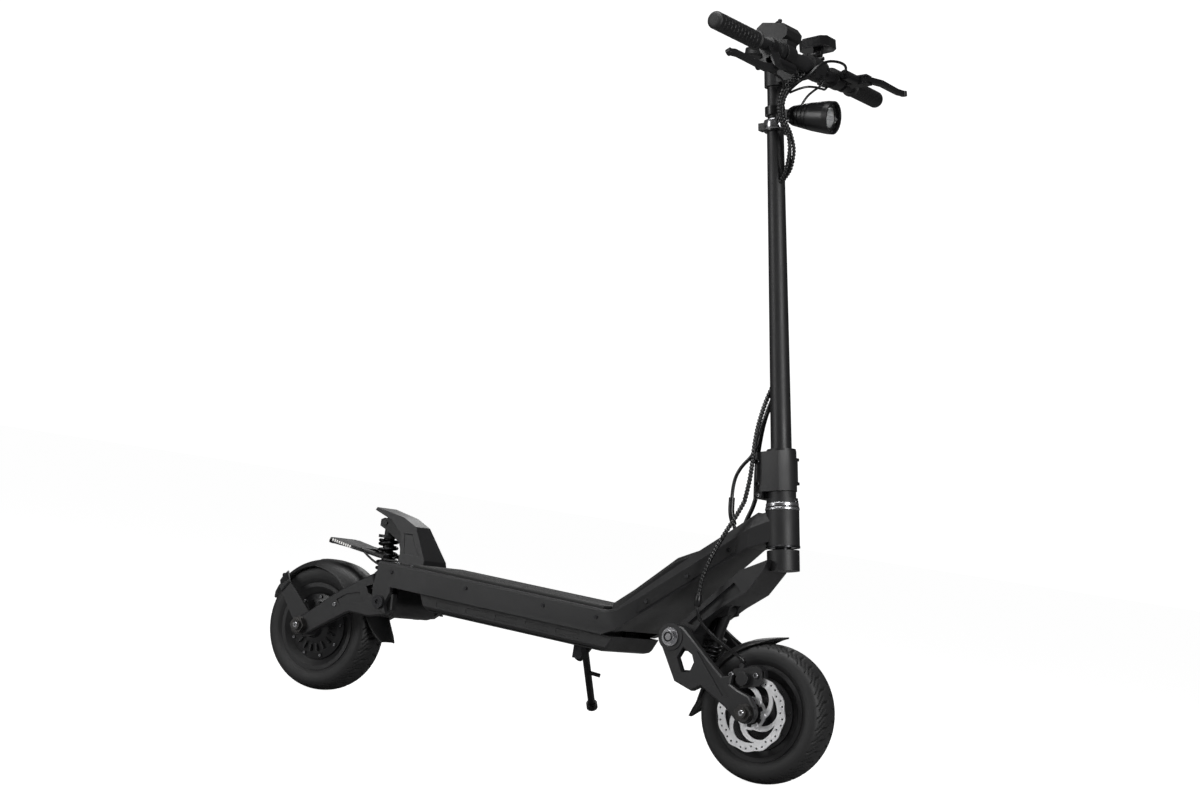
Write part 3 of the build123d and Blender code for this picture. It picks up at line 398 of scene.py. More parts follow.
def grainMaterial(name, colour, rough, grain=900.0, depth=0.2, spread=0.5, metal=0.0, coat=0.0, dust=0.0,
                  level=0.5):
    material = bpy.data.materials.new(name)
    material.use_nodes = True
    tree = material.node_tree
    shader = tree.nodes["Principled BSDF"]
    shader.inputs["Metallic"].default_value = metal
    shader.inputs["Coat Weight"].default_value = coat
    shader.inputs["Coat Roughness"].default_value = 0.12
    shader.inputs["Specular IOR Level"].default_value = level
    skin = tree.nodes.new("ShaderNodeGroup")
    skin.node_tree = grainGroup
    skin.inputs["Colour"].default_value = (*colour, 1)
    skin.inputs["Tone Spread"].default_value = spread
    skin.inputs["Grain Size"].default_value = grain
    skin.inputs["Grain Depth"].default_value = depth
    skin.inputs["Rough Low"].default_value, skin.inputs["Rough High"].default_value = rough
    tree.links.new(skin.outputs["Normal"], shader.inputs["Normal"])
    last = skin
    if dust:
        last = tree.nodes.new("ShaderNodeGroup")
        last.node_tree = dustGroup
        last.inputs["Amount"].default_value = dust
        tree.links.new(skin.outputs["Colour"], last.inputs["Colour"])
        tree.links.new(skin.outputs["Roughness"], last.inputs["Roughness"])
    tree.links.new(last.outputs["Colour"], shader.inputs["Base Color"])
    tree.links.new(last.outputs["Roughness"], shader.inputs["Roughness"])
    return material


def shadeGrooves(material):
    # the tread's groove value darkens its colour towards black as painted shade in the grooves, and takes
    # its shine away
    tree = material.node_tree
    shader = tree.nodes["Principled BSDF"]
    value = tree.nodes.new("ShaderNodeAttribute")
    value.attribute_name = "grooveDepth"
    colour = shader.inputs["Base Color"].links[0].from_socket
    rough = shader.inputs["Roughness"].links[0].from_socket
    # near black mixed in by the groove mask: painted shade in the grooves
    tree.links.new(mixColours(tree, value.outputs["Fac"], colour, (0.001, 0.001, 0.001)),
                   shader.inputs["Base Color"])
    tree.links.new(mathNode(tree, "ADD", rough, mathNode(tree, "MULTIPLY", value.outputs["Fac"], 0.35)),
                   shader.inputs["Roughness"])


def ringMaterial(name, colour, rough, centre, rings, depth, metal=1.0):
    material = bpy.data.materials.new(name)
    material.use_nodes = True
    tree = material.node_tree
    shader = tree.nodes["Principled BSDF"]
    shader.inputs["Base Color"].default_value = (*colour, 1)
    shader.inputs["Metallic"].default_value = metal
    coord = tree.nodes.new("ShaderNodeTexCoord")
    mapping = tree.nodes.new("ShaderNodeMapping")
    mapping.inputs["Location"].default_value = [-c for c in centre]
    marks = tree.nodes.new("ShaderNodeGroup")
    marks.node_tree = ringsGroup
    marks.inputs["Rings"].default_value = rings
    marks.inputs["Depth"].default_value = depth
    marks.inputs["Roughness"].default_value = rough
    tree.links.new(coord.outputs["Object"], mapping.inputs["Vector"])
    tree.links.new(mapping.outputs["Vector"], marks.inputs["Vector"])
    tree.links.new(marks.outputs["Roughness"], shader.inputs["Roughness"])
    tree.links.new(marks.outputs["Normal"], shader.inputs["Normal"])
    return material


def clearMaterial(name, colour, rough):
    material = grainMaterial(name, colour, (rough, rough + 0.05), grain=300.0, depth=0.02, spread=0.1)
    shader = material.node_tree.nodes["Principled BSDF"]
    shader.inputs["Transmission Weight"].default_value = 1.0
    shader.inputs["IOR"].default_value = 1.49
    return material


def glowMaterial(name, colour, strength):
    material = grainMaterial(name, colour, (0.25, 0.35), grain=500.0, depth=0.05)
    shader = material.node_tree.nodes["Principled BSDF"]
    shader.inputs["Emission Color"].default_value = (*colour, 1)
    shader.inputs["Emission Strength"].default_value = strength
    return material


powderCoat = grainMaterial("powderCoat", (0.0085, 0.0085, 0.0092), (0.4, 0.54), grain=1300, depth=0.3,
                           dust=0.012)
castCoat = grainMaterial("castCoat", (0.008, 0.008, 0.0086), (0.34, 0.48), grain=700, depth=0.3, dust=0.01)
smoothCoat = grainMaterial("smoothCoat", (0.006, 0.006, 0.0066), (0.26, 0.38), grain=1600, depth=0.12)
mouldedPlastic = grainMaterial("mouldedPlastic", (0.007, 0.007, 0.0074), (0.38, 0.52), grain=2000,
                               depth=0.3, dust=0.012)
glossPlastic = grainMaterial("glossPlastic", (0.004, 0.004, 0.0045), (0.12, 0.2), grain=500, depth=0.03,
                             coat=0.3)
treadRubber = grainMaterial("treadRubber", (0.011, 0.011, 0.0115), (0.5, 0.66), grain=1100, depth=0.4,
                            dust=0.03)
shadeGrooves(treadRubber)
gripRubber = grainMaterial("gripRubber", (0.006, 0.006, 0.0064), (0.46, 0.6), grain=1500, depth=0.3,
                           dust=0.01)
matRubber = grainMaterial("matRubber", (0.01, 0.01, 0.01), (0.6, 0.75), grain=1800, depth=0.8, dust=0.03)
hoseSkin = grainMaterial("hoseSkin", (0.005, 0.005, 0.0055), (0.22, 0.34), grain=900, depth=0.1)
blackSteel = grainMaterial("blackSteel", (0.03, 0.03, 0.032), (0.24, 0.36), grain=800, depth=0.12,
                           metal=0.8)
brightSteel = grainMaterial("brightSteel", (0.58, 0.58, 0.6), (0.16, 0.28), grain=600, depth=0.12,
                            metal=1.0, spread=0.2)
greySteel = grainMaterial("greySteel", (0.24, 0.24, 0.25), (0.24, 0.36), grain=600, depth=0.12, metal=1.0)
frontDiscSteel = ringMaterial("frontDiscSteel", (0.85, 0.85, 0.86), 0.42, frontAxle, 5200, 0.25)
rearDiscSteel = ringMaterial("rearDiscSteel", (0.85, 0.85, 0.86), 0.42, rearAxle, 5200, 0.25)
lensClear = clearMaterial("lensClear", (0.95, 0.96, 0.97), 0.02)
lampMirror = grainMaterial("lampMirror", (0.85, 0.85, 0.86), (0.12, 0.22), grain=260, depth=0.1, metal=0.3,
                           spread=0.15)
lampChip = glowMaterial("lampChip", (0.95, 0.93, 0.85), 0.3)
tailCell = glowMaterial("tailCell", (0.75, 0.74, 0.72), 0.12)
screenMark = glowMaterial("screenMark", (0.45, 0.65, 0.75), 0.5)
cellWrap = grainMaterial("cellWrap", (0.02, 0.05, 0.16), (0.25, 0.4), grain=400, depth=0.1)
statorIron = grainMaterial("statorIron", (0.07, 0.068, 0.066), (0.3, 0.42), grain=1200, depth=0.3,
                           metal=0.9)
print("materials made")


def paint(material, *names):
    for name in names:
        nodes[name].data.materials.clear()
        nodes[name].data.materials.append(material)


paint(powderCoat, "chassis", "head_tube", "fork_arm", "fold_base", "stem_tube", "bar_stem", "handlebar",
      "front_swing_arm", "rear_swing_arm", "battery_box", "kick_plate", "fender_strut")
paint(castCoat, "motor_controllers", "kickstand_leg", "latch_lever", "front_caliper", "rear_caliper",
      "front_shock_body", "rear_shock_body", "front_hub", "rear_hub")
paint(smoothCoat, "brake_perches", "brake_lever_left", "brake_lever_right", "headlight", "front_hub_covers",
      "rear_hub_covers")
paint(mouldedPlastic, "neck_cover", "neck_side_panels", "tail_light_bracket", "front_fender", "rear_fender",
      "control_housings", "throttle_paddle", "horn_button")
paint(glossPlastic, "display")
paint(treadRubber, "front_tyre", "rear_tyre")
paint(gripRubber, "grips")
paint(matRubber, "deck_mat")
paint(hoseSkin, "stem_hoses", "neck_hoses", "brake_hose_lower")
paint(blackSteel, "frame_screws", "rear_pivot_bolt", "kickstand_bracket", "steerer", "front_shock_spring",
      "rear_shock_spring")
paint(brightSteel, "headset_bearings", "steering_pins", "front_shock_rod", "rear_shock_rod")
paint(frontDiscSteel, "front_brake_disc")
paint(rearDiscSteel, "rear_brake_disc")
paint(lensClear, "headlight_lens")
paint(tailCell, "tail_light")
paint(cellWrap, "battery_pack")
paint(statorIron, "front_motor_core", "rear_motor_core")

for name, width in (("chassis", 1.6), ("head_tube", 1.4), ("fork_arm", 1.4), ("stem_tube", 1.4),
                    ("battery_box", 1.2),
                    ("kick_plate", 1.4), ("front_swing_arm", 0.8), ("rear_swing_arm", 0.8),
                    ("fold_base", 0.8),
                    ("bar_stem", 0.8), ("neck_cover", 1.0), ("neck_side_panels", 0.6),
                    ("tail_light_bracket", 1.0),
                    ("fender_strut", 0.6), ("brake_perches", 0.8), ("brake_lever_left", 1.2),
                    ("brake_lever_right", 1.2),
                    ("control_housings", 1.0), ("throttle_paddle", 0.8), ("display", 0.8),
                    ("front_caliper", 0.7),
                    ("rear_caliper", 0.7), ("kickstand_leg", 0.6), ("latch_lever", 0.8), ("deck_mat", 0.4)):
    softenNode(name, nodes[name].data.materials[0], width)
print("edges softened")


tyreShape = {"section": [(82.6, -27), (83.2, -30.4), (88.3, -32.6), (92.5, -35), (99, -37.2), (107, -38),
                         (114.5, -36.6), (120, -32.6), (124.2, -24), (126.8, -12), (127.5, 0)],
             "inside": [(120, 20), (108, 30.5), (94, 29), (84, 25)],
             "slashes": 34, "depth": 2.3, "around": 760, "across": 110}


def smoothClosed(points, count):
    # Catmull-Rom through a closed list of points
    points = np.asarray(points, float)
    n = len(points)
    step = np.linspace(0, n, count, endpoint=False)
    k = step.astype(int)
    t = (step - k)[:, None]
    a, b, c, d = (points[(k + shift) % n] for shift in (-1, 0, 1, 2))
    return 0.5 * (2 * b + (c - a) * t + (2 * a - 5 * b + 4 * c - d) * t ** 2 + (3 * b - a - 3 * c + d)
                  * t ** 3)


def treadCut(angle, width):
    # long slashes that lean forwards from the middle, and short ones between them at the shoulder
    reach = np.abs(width) / 38.0
    turns = tyreShape["slashes"] * angle / (2 * np.pi)
    phase = turns + 0.25 * np.sign(width) + 1.25 * reach + 0.13 * np.sin(9 * reach)

    def groove(shift, low, high, half):
        gap = np.abs((phase + shift) % 1.0 - 0.5)
        edge = np.clip((half - gap) / 0.035, 0, 1)
        ends = np.clip((reach - low) / 0.05, 0, 1) * np.clip((high - reach) / 0.05, 0, 1)
        return edge * ends

    return np.maximum(groove(0.5, 0.1, 0.82, 0.1), groove(0.0, 0.45, 0.95, 0.075))


def makeTyre(name, axle, body, node):
    # a closed section turned about the axle, with the tread grooves taken off along the radius
    half = tyreShape["section"]
    loop = half + [(r, -w) for r, w in reversed(half[:-1])] + tyreShape["inside"] \
        + [(r, -w) for r, w in reversed(tyreShape["inside"])]
    section = smoothClosed(loop, tyreShape["across"])
    radius, width = section[:, 0], section[:, 1]
    angle = np.linspace(0, 2 * np.pi, tyreShape["around"], endpoint=False)
    outer = np.clip((radius - 110) / 4, 0, 1)[None, :] * (np.abs(width) < 37.5)
    cut = treadCut(angle[:, None], width[None, :]) * outer * (radius > 119)[None, :] * tyreShape["depth"]
    side = (np.abs(width) > 33) * (np.exp(-((radius - 96) / 0.9) ** 2)
                                   + np.exp(-((radius - 112) / 0.9) ** 2))
    size = (radius[None, :] - cut) * 0.001
    wide = (width * (1 + 0.012 * side))[None, :] * 0.001 + 0 * size
    grid = np.stack([axle[0] + size * np.cos(angle)[:, None], axle[1] + wide,
                     axle[2] + size * np.sin(angle)[:, None]], -1)
    piece = makePiece(name, [gridPart(grid, closeAlong=True, closeAround=True)], body, treadRubber,
                      [node], sharp=50)
    points = np.zeros(len(piece.data.vertices) * 3)
    piece.data.vertices.foreach_get("co", points)
    away = points.reshape(-1, 3) - axle
    size = np.hypot(away[:, 0], away[:, 2]) * 1000
    width = away[:, 1] * 1000
    # the groove mask on each point, which drives the painted shade in the grooves
    grooveShade = treadCut(np.arctan2(away[:, 2], away[:, 0]) % (2 * np.pi), width) * (size > 115)
    grooves = piece.data.attributes.new("grooveDepth", "FLOAT", "POINT")
    grooves.data.foreach_set("value", grooveShade.astype(np.float32))
    return piece


makeTyre("frontTyre", frontAxle, "front_wheel", "front_tyre")
makeTyre("rearTyre", rearAxle, "rear_wheel", "rear_tyre")
print("tyres made")


def sweepGuard(name, line, widths, crown, skirt, wall, body, replaced):
    # a curved sheet: a side-view line, a half width at each point, and sides that fall away by a power law
    line, widths = np.asarray(line, float), np.asarray(widths, float)
    k = np.arange(len(line))
    fine = smoothLine(at([(x, 0, z) for x, z in line]), 0.003)
    place = np.linspace(0, len(line) - 1, len(fine))
    half = np.interp(place, k, widths) * 0.001
    drop = np.interp(place, k, skirt) * 0.001
    rise = np.interp(place, k, crown) * 0.001
    tangent = unit(np.gradient(fine, axis=0))
    outward = np.stack([-tangent[:, 2], 0 * half, tangent[:, 0]], 1)
    outward *= np.sign(outward[len(fine) // 2, 2])
    v = np.linspace(-1, 1, 33)
    fall = np.abs(v) ** 3.2
    ridge = np.exp(-(v / 0.16) ** 2)
    grid = fine[:, None] + (rise[:, None] * ridge - drop[:, None] * fall)[..., None] * outward[:, None]
    grid[..., 1] += half[:, None] * np.sign(v) * np.abs(v) ** 0.85
    piece = makePiece(name, [gridPart(grid)], body, mouldedPlastic, replaced)
    normals = piece.data.polygons[len(piece.data.polygons) // 2].normal
    if normals.z < 0:
        piece.data.flip_normals()
    solid = piece.modifiers.new("wall", "SOLIDIFY")
    solid.thickness = wall * 0.001
    solid.offset = -1
    lip = piece.modifiers.new("lip", "BEVEL")
    lip.width = 0.0006
    lip.segments = 2
    lip.limit_method = "ANGLE"
    lip.angle_limit = np.radians(50)
    return piece


def arc(centreX, radius, *angles):
    return [(centreX + radius * np.cos(np.radians(a)), 127.5 + radius
             * np.sin(np.radians(a))) for a in angles]


# side-view line, then a half width, a middle ridge and a side drop for each of its points, and the wall
guardShapes = {
    "frontGuard": {
        "line": [(353, 97), (363, 112), (374, 128)] + arc(513, 136, 170, 158, 146, 134, 122, 110, 101)
        + [(503, 265), (518, 268.5), (532, 271)],
        "widths": [6, 22, 34, 39, 41, 42, 42, 42, 41, 38, 30, 18, 3],
        "crown": [0, 0.5, 1, 1.5, 1.5, 1.5, 1.5, 1.5, 1.5, 2, 2, 1, 0],
        "skirt": [1, 4, 8, 13, 17, 18, 18, 17, 15, 12, 8, 3, 0],
        "wall": 3.0, "body": "front_arm", "replaced": ["front_fender"]},
    "rearGuard": {
        "line": [(-656, 168), (-646, 178), (-636, 191)] + arc(-513, 136.5, 146, 136, 126, 116, 106, 98, 92),
        "widths": [3, 22, 34, 41, 43, 43, 43, 43, 43, 43],
        "crown": [0, 1, 1.5, 1.5, 1.5, 1.5, 1.5, 1.5, 1.5, 1.5],
        "skirt": [0, 3, 7, 12, 14, 14, 14, 14, 14, 14],
        "wall": 2.6, "body": "rear_arm", "replaced": ["rear_fender"]},
    "rearHood": {
        "line": arc(-513, 137.8, 99, 90) + [(-488, 264), (-462, 259), (-438, 248), (-420, 233),
                                            (-408, 217)],
        "widths": [44, 46, 47, 47, 47, 46, 45],
        "crown": [0.8, 1, 1.2, 1.5, 1.5, 1, 0],
        "skirt": [16, 20, 24, 28, 34, 36, 34],
        "wall": 2.6, "body": "rear_arm", "replaced": []},
    "mudFlap": {
        "line": [(-400, 196), (-394, 182), (-384, 168), (-375, 152), (-363, 136), (-352, 122)],
        "widths": [40, 40, 39, 37, 33, 24],
        "crown": [0, 0, 0, 0, 0, 0],
        "skirt": [3, 4, 5, 5, 5, 4],
        "wall": 3.0, "body": "rear_arm", "replaced": []},
}
for name, guard in guardShapes.items():
    sweepGuard(name, **guard)
print("guards made")


def makeSpring(name, node, joint, body, radius, wire, turns):
    # a round wire on a helix between the node's two ends, along the damper
    low, high = (np.array(c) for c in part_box(node))
    axis = unit(joints[joint]["axis"])
    middle = (low + high) / 2
    length = ((high - low)[2] - 2 * radius * 0.001 * abs(axis[0])) / abs(axis[2])
    span = length - 2.2 * wire * 0.001
    first = np.array([0, 1, 0])
    second = np.cross(axis, first)
    t = np.linspace(0, 1, int(turns * 40))
    angle = 2 * np.pi * turns * t
    climb = np.clip((t - 0.08) / 0.84, 0, 1) * 0.94 + t * 0.06
    line = (middle - axis * span / 2 + climb[:, None] * axis * span
            + radius * 0.001 * (np.cos(angle)[:, None] * first + np.sin(angle)[:, None] * second))
    piece = makePiece(name, [tubePart(line, wire, 14, beside=tuple(axis))], body, blackSteel,
                      [node])
    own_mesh(piece)
    return piece


joints = {joint["name"]: joint for joint in frame["joints"]}
springShapes = {
    "frontSpring": {"node": "front_shock_spring", "joint": "front_damper_slide", "body": "front_damper",
                    "radius": 14.5, "wire": 2.8, "turns": 5.5},
    "rearSpring": {"node": "rear_shock_spring", "joint": "rear_damper_slide", "body": "rear_damper",
                   "radius": 17.5, "wire": 3.3, "turns": 7.5},
}
for name, spring in springShapes.items():
    makeSpring(name, **spring)
print("springs made")


gripShape = {"radius": 15.6, "block": 0.9, "rows": 11, "around": 10}


def gripSleeve(side):
    # a sleeve about the bar whose radius rises in staggered blocks, with a collar and a domed end
    origin, forward, up, out = barPlace(side, 193)
    stations = np.linspace(0, 139.5, 280)
    angle = np.linspace(0, 2 * np.pi, 120, endpoint=False)
    row = (stations - 10) / 116 * gripShape["rows"]
    shift = 0.5 * (np.floor(row) % 2)
    inRow = np.clip((0.5 - np.abs(row % 1 - 0.5)) / 0.12 - 0.7, 0, 1)
    cell = (angle[None, :] / (2 * np.pi) * gripShape["around"] + shift[:, None]) % 1
    inCell = np.clip((0.5 - np.abs(cell - 0.5)) / 0.1 - 0.7, 0, 1)
    band = ((stations > 10) & (stations < 126))[:, None]
    radius = gripShape["radius"] + gripShape["block"] * inRow[:, None] * inCell * band
    collar = 2.6 * np.exp(-((stations - 3) / 2.6) ** 4) + 0.8 * np.exp(-((stations - 133) / 5.5) ** 6)
    dome = np.sqrt(np.clip(1 - np.clip((stations - 134) / 5.6, 0, 1) ** 2, 0, 1))
    radius = (radius + collar[:, None]) * (0.45 + 0.55 * dome[:, None])
    ring = np.cos(angle)[:, None] * forward + np.sin(angle)[:, None] * up
    grid = origin + stations[:, None, None] * out + radius[..., None] * ring
    closing = grid[-1].mean(0) + (grid[-1] - grid[-1].mean(0)) * 0.02 + out * 0.3
    mouth = origin + 11.3 * ring
    grid = np.concatenate([mouth[None], grid, closing[None]])
    points, faces = gridPart(grid, closeAround=True)
    faces.append(list(range(len(points) - 120, len(points))))
    return points * 0.001 + [middleX, 0, 0], faces


makePiece("grips.pair", [gripSleeve(1), gripSleeve(-1)], "stem", gripRubber, ["grips"],
          sharp=50)
print("grips made")


wrapped = (6.5, 0.55)
stemBrake = steer([(-13, -4.8, 228), (-25, -6, 206), (-32, -14, 178), (-36, -25, 148), (-39, -33, 114),
                   (-42, -37, 78),
                   (-48, -39, 44), (-58, -39, 14)])
neckBrake = np.vstack([stemBrake[-1:], at([(413, -46, 476), (403, -57, 446), (398, -62.5, 429)])])
forkBrake = at([(398, -62.5, 429), (393, -68, 412), (384, -75, 378), (377, -76, 346), (377, -77, 322)])
armBrake = at([(377, -79, 300), (384, -80, 284), (400, -80, 266), (428, -78, 248), (458, -72, 232),
               (477, -65, 222),
               (482, -60, 213)])
stemWiring = steer([(-13, 4.8, 216), (-27, 6, 192), (-41, 9, 160), (-51, 11, 124), (-58, 12, 86),
                    (-61, 13, 50),
                    (-62, 13, 24)])
neckWiring = np.vstack([stemWiring[-1:], at([(412, 13, 496), (406, 13, 480), (402, 12, 466),
                                             (400, 12, 456)])])
stemLead = steer([(-13, 1, 200), (-30, 2, 180), (-45, 2, 146), (-52, 1, 118), (-62, 0, 101), (-84, -1, 84),
                  (-100, -2, 58), (-103, -2, 32)])
neckLead = np.vstack([stemLead[-1:], at([(374, -2, 494), (377, -2, 476), (385, -1, 458), (392, 0, 443)])])


def hosePiece(name, route, radius, body, replaced=(), wrap=None, extra=(), blend=None, beside=(0, 1, 0)):
    parts = [tubePart(smoothLine(route, 0.0009 if wrap else 0.002), radius, 18, beside, wrap), *extra]
    piece = makePiece(name, parts, None if blend else body, hoseSkin, replaced, sharp=60)
    if blend:
        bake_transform(piece)
    return piece


def ferrule(start, end, radius):
    start, end = np.asarray(start), np.asarray(end)
    length = np.linalg.norm(end - start) * 1000
    profile = [(0, 0), (radius * 0.8, 0), (radius, 1), (radius, length - 1), (radius * 0.8, length),
               (0, length)]
    return spinPart(profile, start, end - start, 24)


hosePiece("stemBrakeHose", stemBrake, 4.6, None, ["stem_hoses"], wrapped,
          blend=("stem", "steering", tuple(stemBrake[3]), tuple(stemBrake[6])))
hosePiece("neckBrakeHose", neckBrake, 4.6, None, ["neck_hoses"], wrapped,
          blend=("steering", "frame", tuple(neckBrake[0]), tuple(neckBrake[-1])))
hosePiece("forkBrakeHose", forkBrake, 4.6, None, (), wrapped,
          extra=[ferrule(forkBrake[-1] + [0, 0, 0.0005], forkBrake[-1] - [0, 0, 0.0215], 6.2)],
          blend=("frame", "steering", tuple(forkBrake[0]), tuple(forkBrake[-1])))
hosePiece("armBrakeHose", armBrake, 3.4, None, ["brake_hose_lower"], None,
          extra=[ferrule(armBrake[5], armBrake[6], 4.6)],
          blend=("steering", "front_arm", tuple(armBrake[0]), tuple(armBrake[4])))
hosePiece("stemWiringHose", stemWiring, 4.2, None, (), None,
          blend=("stem", "steering", tuple(stemWiring[2]), tuple(stemWiring[5])))
hosePiece("neckWiringHose", neckWiring, 4.2, None, (), None,
          blend=("steering", "frame", tuple(neckWiring[0]), tuple(neckWiring[3])))
hosePiece("stemLeadCable", stemLead, 3.4, None, (), None,
          blend=("stem", "steering", tuple(stemLead[2]), tuple(stemLead[6])))
hosePiece("neckLeadCable", neckLead, 3.4, None, (), None,
          extra=[tubePart(smoothLine(neckLead, 0.002)[2:-8], 5.8, 20)],
          blend=("steering", "frame", tuple(neckLead[0]), tuple(neckLead[3])))

cockpitRoutes = {
    "loomFirst": (6.2, wrapped, [(394, -20, 1308), (378, -25, 1291), (364, -27, 1272), (360, -27, 1248),
                                 (364, -27, 1224),
                                 (376, -26, 1206), (385, -24, 1190)]),
    "loomSecond": (6.0, wrapped, [(404, -26, 1306), (388, -32, 1288), (374, -35, 1270), (369, -36, 1246),
                                  (373, -35, 1222),
                                  (384, -33, 1204), (391, -29, 1192)]),
    "bundleFirst": (4.2, wrapped, [(387, -29, 1196), (397, -30, 1172), (398, -28, 1146), (390, -18, 1118),
                                   (377, -8, 1102)]),
    "bundleSecond": (3.8, wrapped, [(388, -22, 1196), (402, -21, 1170), (402, -18, 1142), (394, -10, 1120),
                                    (378, -2, 1106)]),
    "bundleThird": (2.6, None, [(383, -19, 1196), (390, -17, 1170), (393, -13, 1146), (388, -5, 1124),
                                (378, 3, 1110)]),
    "rightBrake": (2.6, None, [(411, -84, 1298), (410, -66, 1291), (397, -46, 1284), (381, -31, 1273),
                               (367, -27, 1256)]),
    "gaugeLead": (2.2, None, [(350, -104, 1311), (354, -92, 1298), (364, -68, 1293), (374, -43, 1285),
                              (368, -28, 1262)]),
    "leftBrake": (2.6, None, [(424, 89, 1330), (437, 72, 1338), (441, 46, 1343), (431, 14, 1340),
                              (428, -18, 1326),
                              (412, -34, 1298), (388, -31, 1282), (370, -27, 1264)]),
    "leftSwitch": (2.2, None, [(379, 112, 1309), (384, 96, 1300), (392, 70, 1297), (405, 40, 1291),
                               (411, 10, 1288),
                               (397, -14, 1283), (376, -24, 1268)]),
    "lampLead": (2.2, None, [(386, 9, 1249), (390, 13, 1266), (402, 18, 1282), (416, 23, 1294),
                             (417, 29, 1309)]),
}
for name, (radius, wrap, route) in cockpitRoutes.items():
    beside = (1, 0, 0) if name in ("rightBrake", "gaugeLead", "leftBrake", "leftSwitch") else (0, 1, 0)
    hosePiece(name, at(route), radius, "stem", (), wrap, beside=beside)
tailLead = at([(-330, -60, 268), (-352, -58, 270), (-378, -54, 276), (-404, -50, 288), (-424, -44, 298)])
hosePiece("tailLead", tailLead, 2.2, "frame")
rearMotorLead = at([(-330, -40, 226), (-352, -52, 226), (-378, -66, 220), (-412, -69, 200),
                    (-446, -69, 178),
                    (-482, -69, 154), (-506, -67, 137)])
hosePiece("rearMotorLead", rearMotorLead, 3.2, "rear_arm")
frontMotorLead = at([(372, 50, 262), (386, 58, 250), (408, 66, 236), (440, 69, 214), (470, 68, 190),
                     (492, 67, 160),
                     (508, 66, 138)])
hosePiece("frontMotorLead", frontMotorLead, 3.2, "front_arm")
print("hoses made")


# radius and depth pairs about the lamp's own middle line
lampShape = {"centre": (455, 0, 1230),
             "reflector": [(3, -30), (8, -28.5), (13, -24), (17, -17), (19.5, -9), (20.4, -3.6)],
             "bulb": [(0, 6), (4, 5), (6.4, 1), (7, -3), (0, -3)],
             "bezel": [(19, -4.4), (27.3, -4.2), (27.3, 3), (30.4, 3.6), (31, 7.6), (29.6, 8.6),
                       (27.9, 7.2),
                       (27.8, 3), (26.6, -3.2), (19, -3.2)]}
lampCentre = at([lampShape["centre"]])[0]
forwards = (1, 0, 0)


def reflectorRipple(row, angle):
    # a rounded square opening with a dozen flutes: the radius falls between four corners and at each flute
    square = 0.0016 * np.cos(4 * angle + 0.4)
    return (square - 0.0007 * np.abs(np.sin(6 * angle))) * (row > 0)


makePiece("lampReflector", [spinPart(lampShape["reflector"], lampCentre, forwards, 96,
                                     ripple=reflectorRipple)],
          "stem", lampMirror)
makePiece("lampChip", [pillowPart(lampCentre + [-0.027, 0, 0], [(0, 1, 0), (0, 0, 1), (1, 0, 0)],
                                  (6, 6, 3)),
                       spinPart(lampShape["bulb"], lampCentre + [-0.021, 0, 0], forwards)], "stem",
                       lampChip)
makePiece("lampBezel", [spinPart(lampShape["bezel"], lampCentre, forwards, 96, closed=True)], "stem",
          glossPlastic)

tailShape = {"pitch": 5.6, "rearCells": 16, "sideCells": 9, "slope": 0.17}
tailParts = []
for k in range(tailShape["rearCells"]):
    place = at([(-505.4, -42 + k * tailShape["pitch"], 304)])[0]
    tailParts.append(pillowPart(place, [(0, 1, 0), (0.25, 0, 1), (1, 0, -0.25)], (2.1, 4.2, 1.8), 0.45, 8,
                                12))
for k in range(tailShape["sideCells"]):
    x = -496 + k * tailShape["pitch"]
    for side in (-1, 1):
        place = at([(x, side * 45.4, 305.6 - tailShape["slope"] * (x + 496))])[0]
        tailParts.append(pillowPart(place, [(1, 0, -0.16), (0.16, 0, 1), (0, side, 0)], (2.0, 3.0, 0.9),
                                    0.45, 8, 12))
makePiece("tailCells", tailParts, "frame", tailCell)
railAxes = [(0, 1, 0), (0.2, 0, 1), (1, 0, -0.2)]
makePiece("tailRail", [pillowPart(at([(-502.4, 0, 304.2)])[0], railAxes, (45.5, 6, 3.4), 0.2, 10, 28)],
          "frame",
          glossPlastic, ["tail_light"])
print("lamps made")


axisUp = unit(steer([(0, 0, 1)])[0] - steer([(0, 0, 0)])[0])
# body, lower and upper height along the steering axis, radius and finish
ringShapes = {
    "headRing": ("frame", -2.5, 1.6, 31.9, brightSteel),
    "crownRing": ("steering", 4.2, 10.4, 30.4, brightSteel),
    # the lower ring is black steel so that it reads as the shaded gap between head tube and crown: painted
    # shade
    "lowerRing": ("frame", -72.4, -68.4, 31.7, blackSteel),
}
for name, (body, low, high, size, metal) in ringShapes.items():
    tall = high - low
    profile = [(size - 2.2, 0), (size - 0.4, 0), (size, 0.5), (size, tall - 0.5), (size - 0.4, tall),
               (size - 2.2, tall)]
    makePiece(name, [spinPart(profile, steer([(0, 0, low)])[0], axisUp, 96, closed=True)], body, metal)
collarShape = [(20.62, 0.4), (20.9, 0.8), (20.9, 16.8), (20.5, 17.4), (16, 17.6), (16, 18.2), (20.9, 18.2),
               (21.3, 17.6),
               (21.3, 0.6), (20.9, 0)]
makePiece("postCollar", [spinPart(collarShape, steer([(0, 0, 713.2)])[0], axisUp, 72, closed=True)], "stem",
          brightSteel)
lipShape = [(15.6, 0), (20.8, 0), (21.2, 0.5), (21.2, 2.6), (20.8, 3.1), (15.6, 3.1)]
makePiece("stemLip", [spinPart(lipShape, steer([(0, 0, 709.6)])[0], axisUp, 72, closed=True)], "stem",
          smoothCoat)

sideways = np.array([0, 1.0, 0])
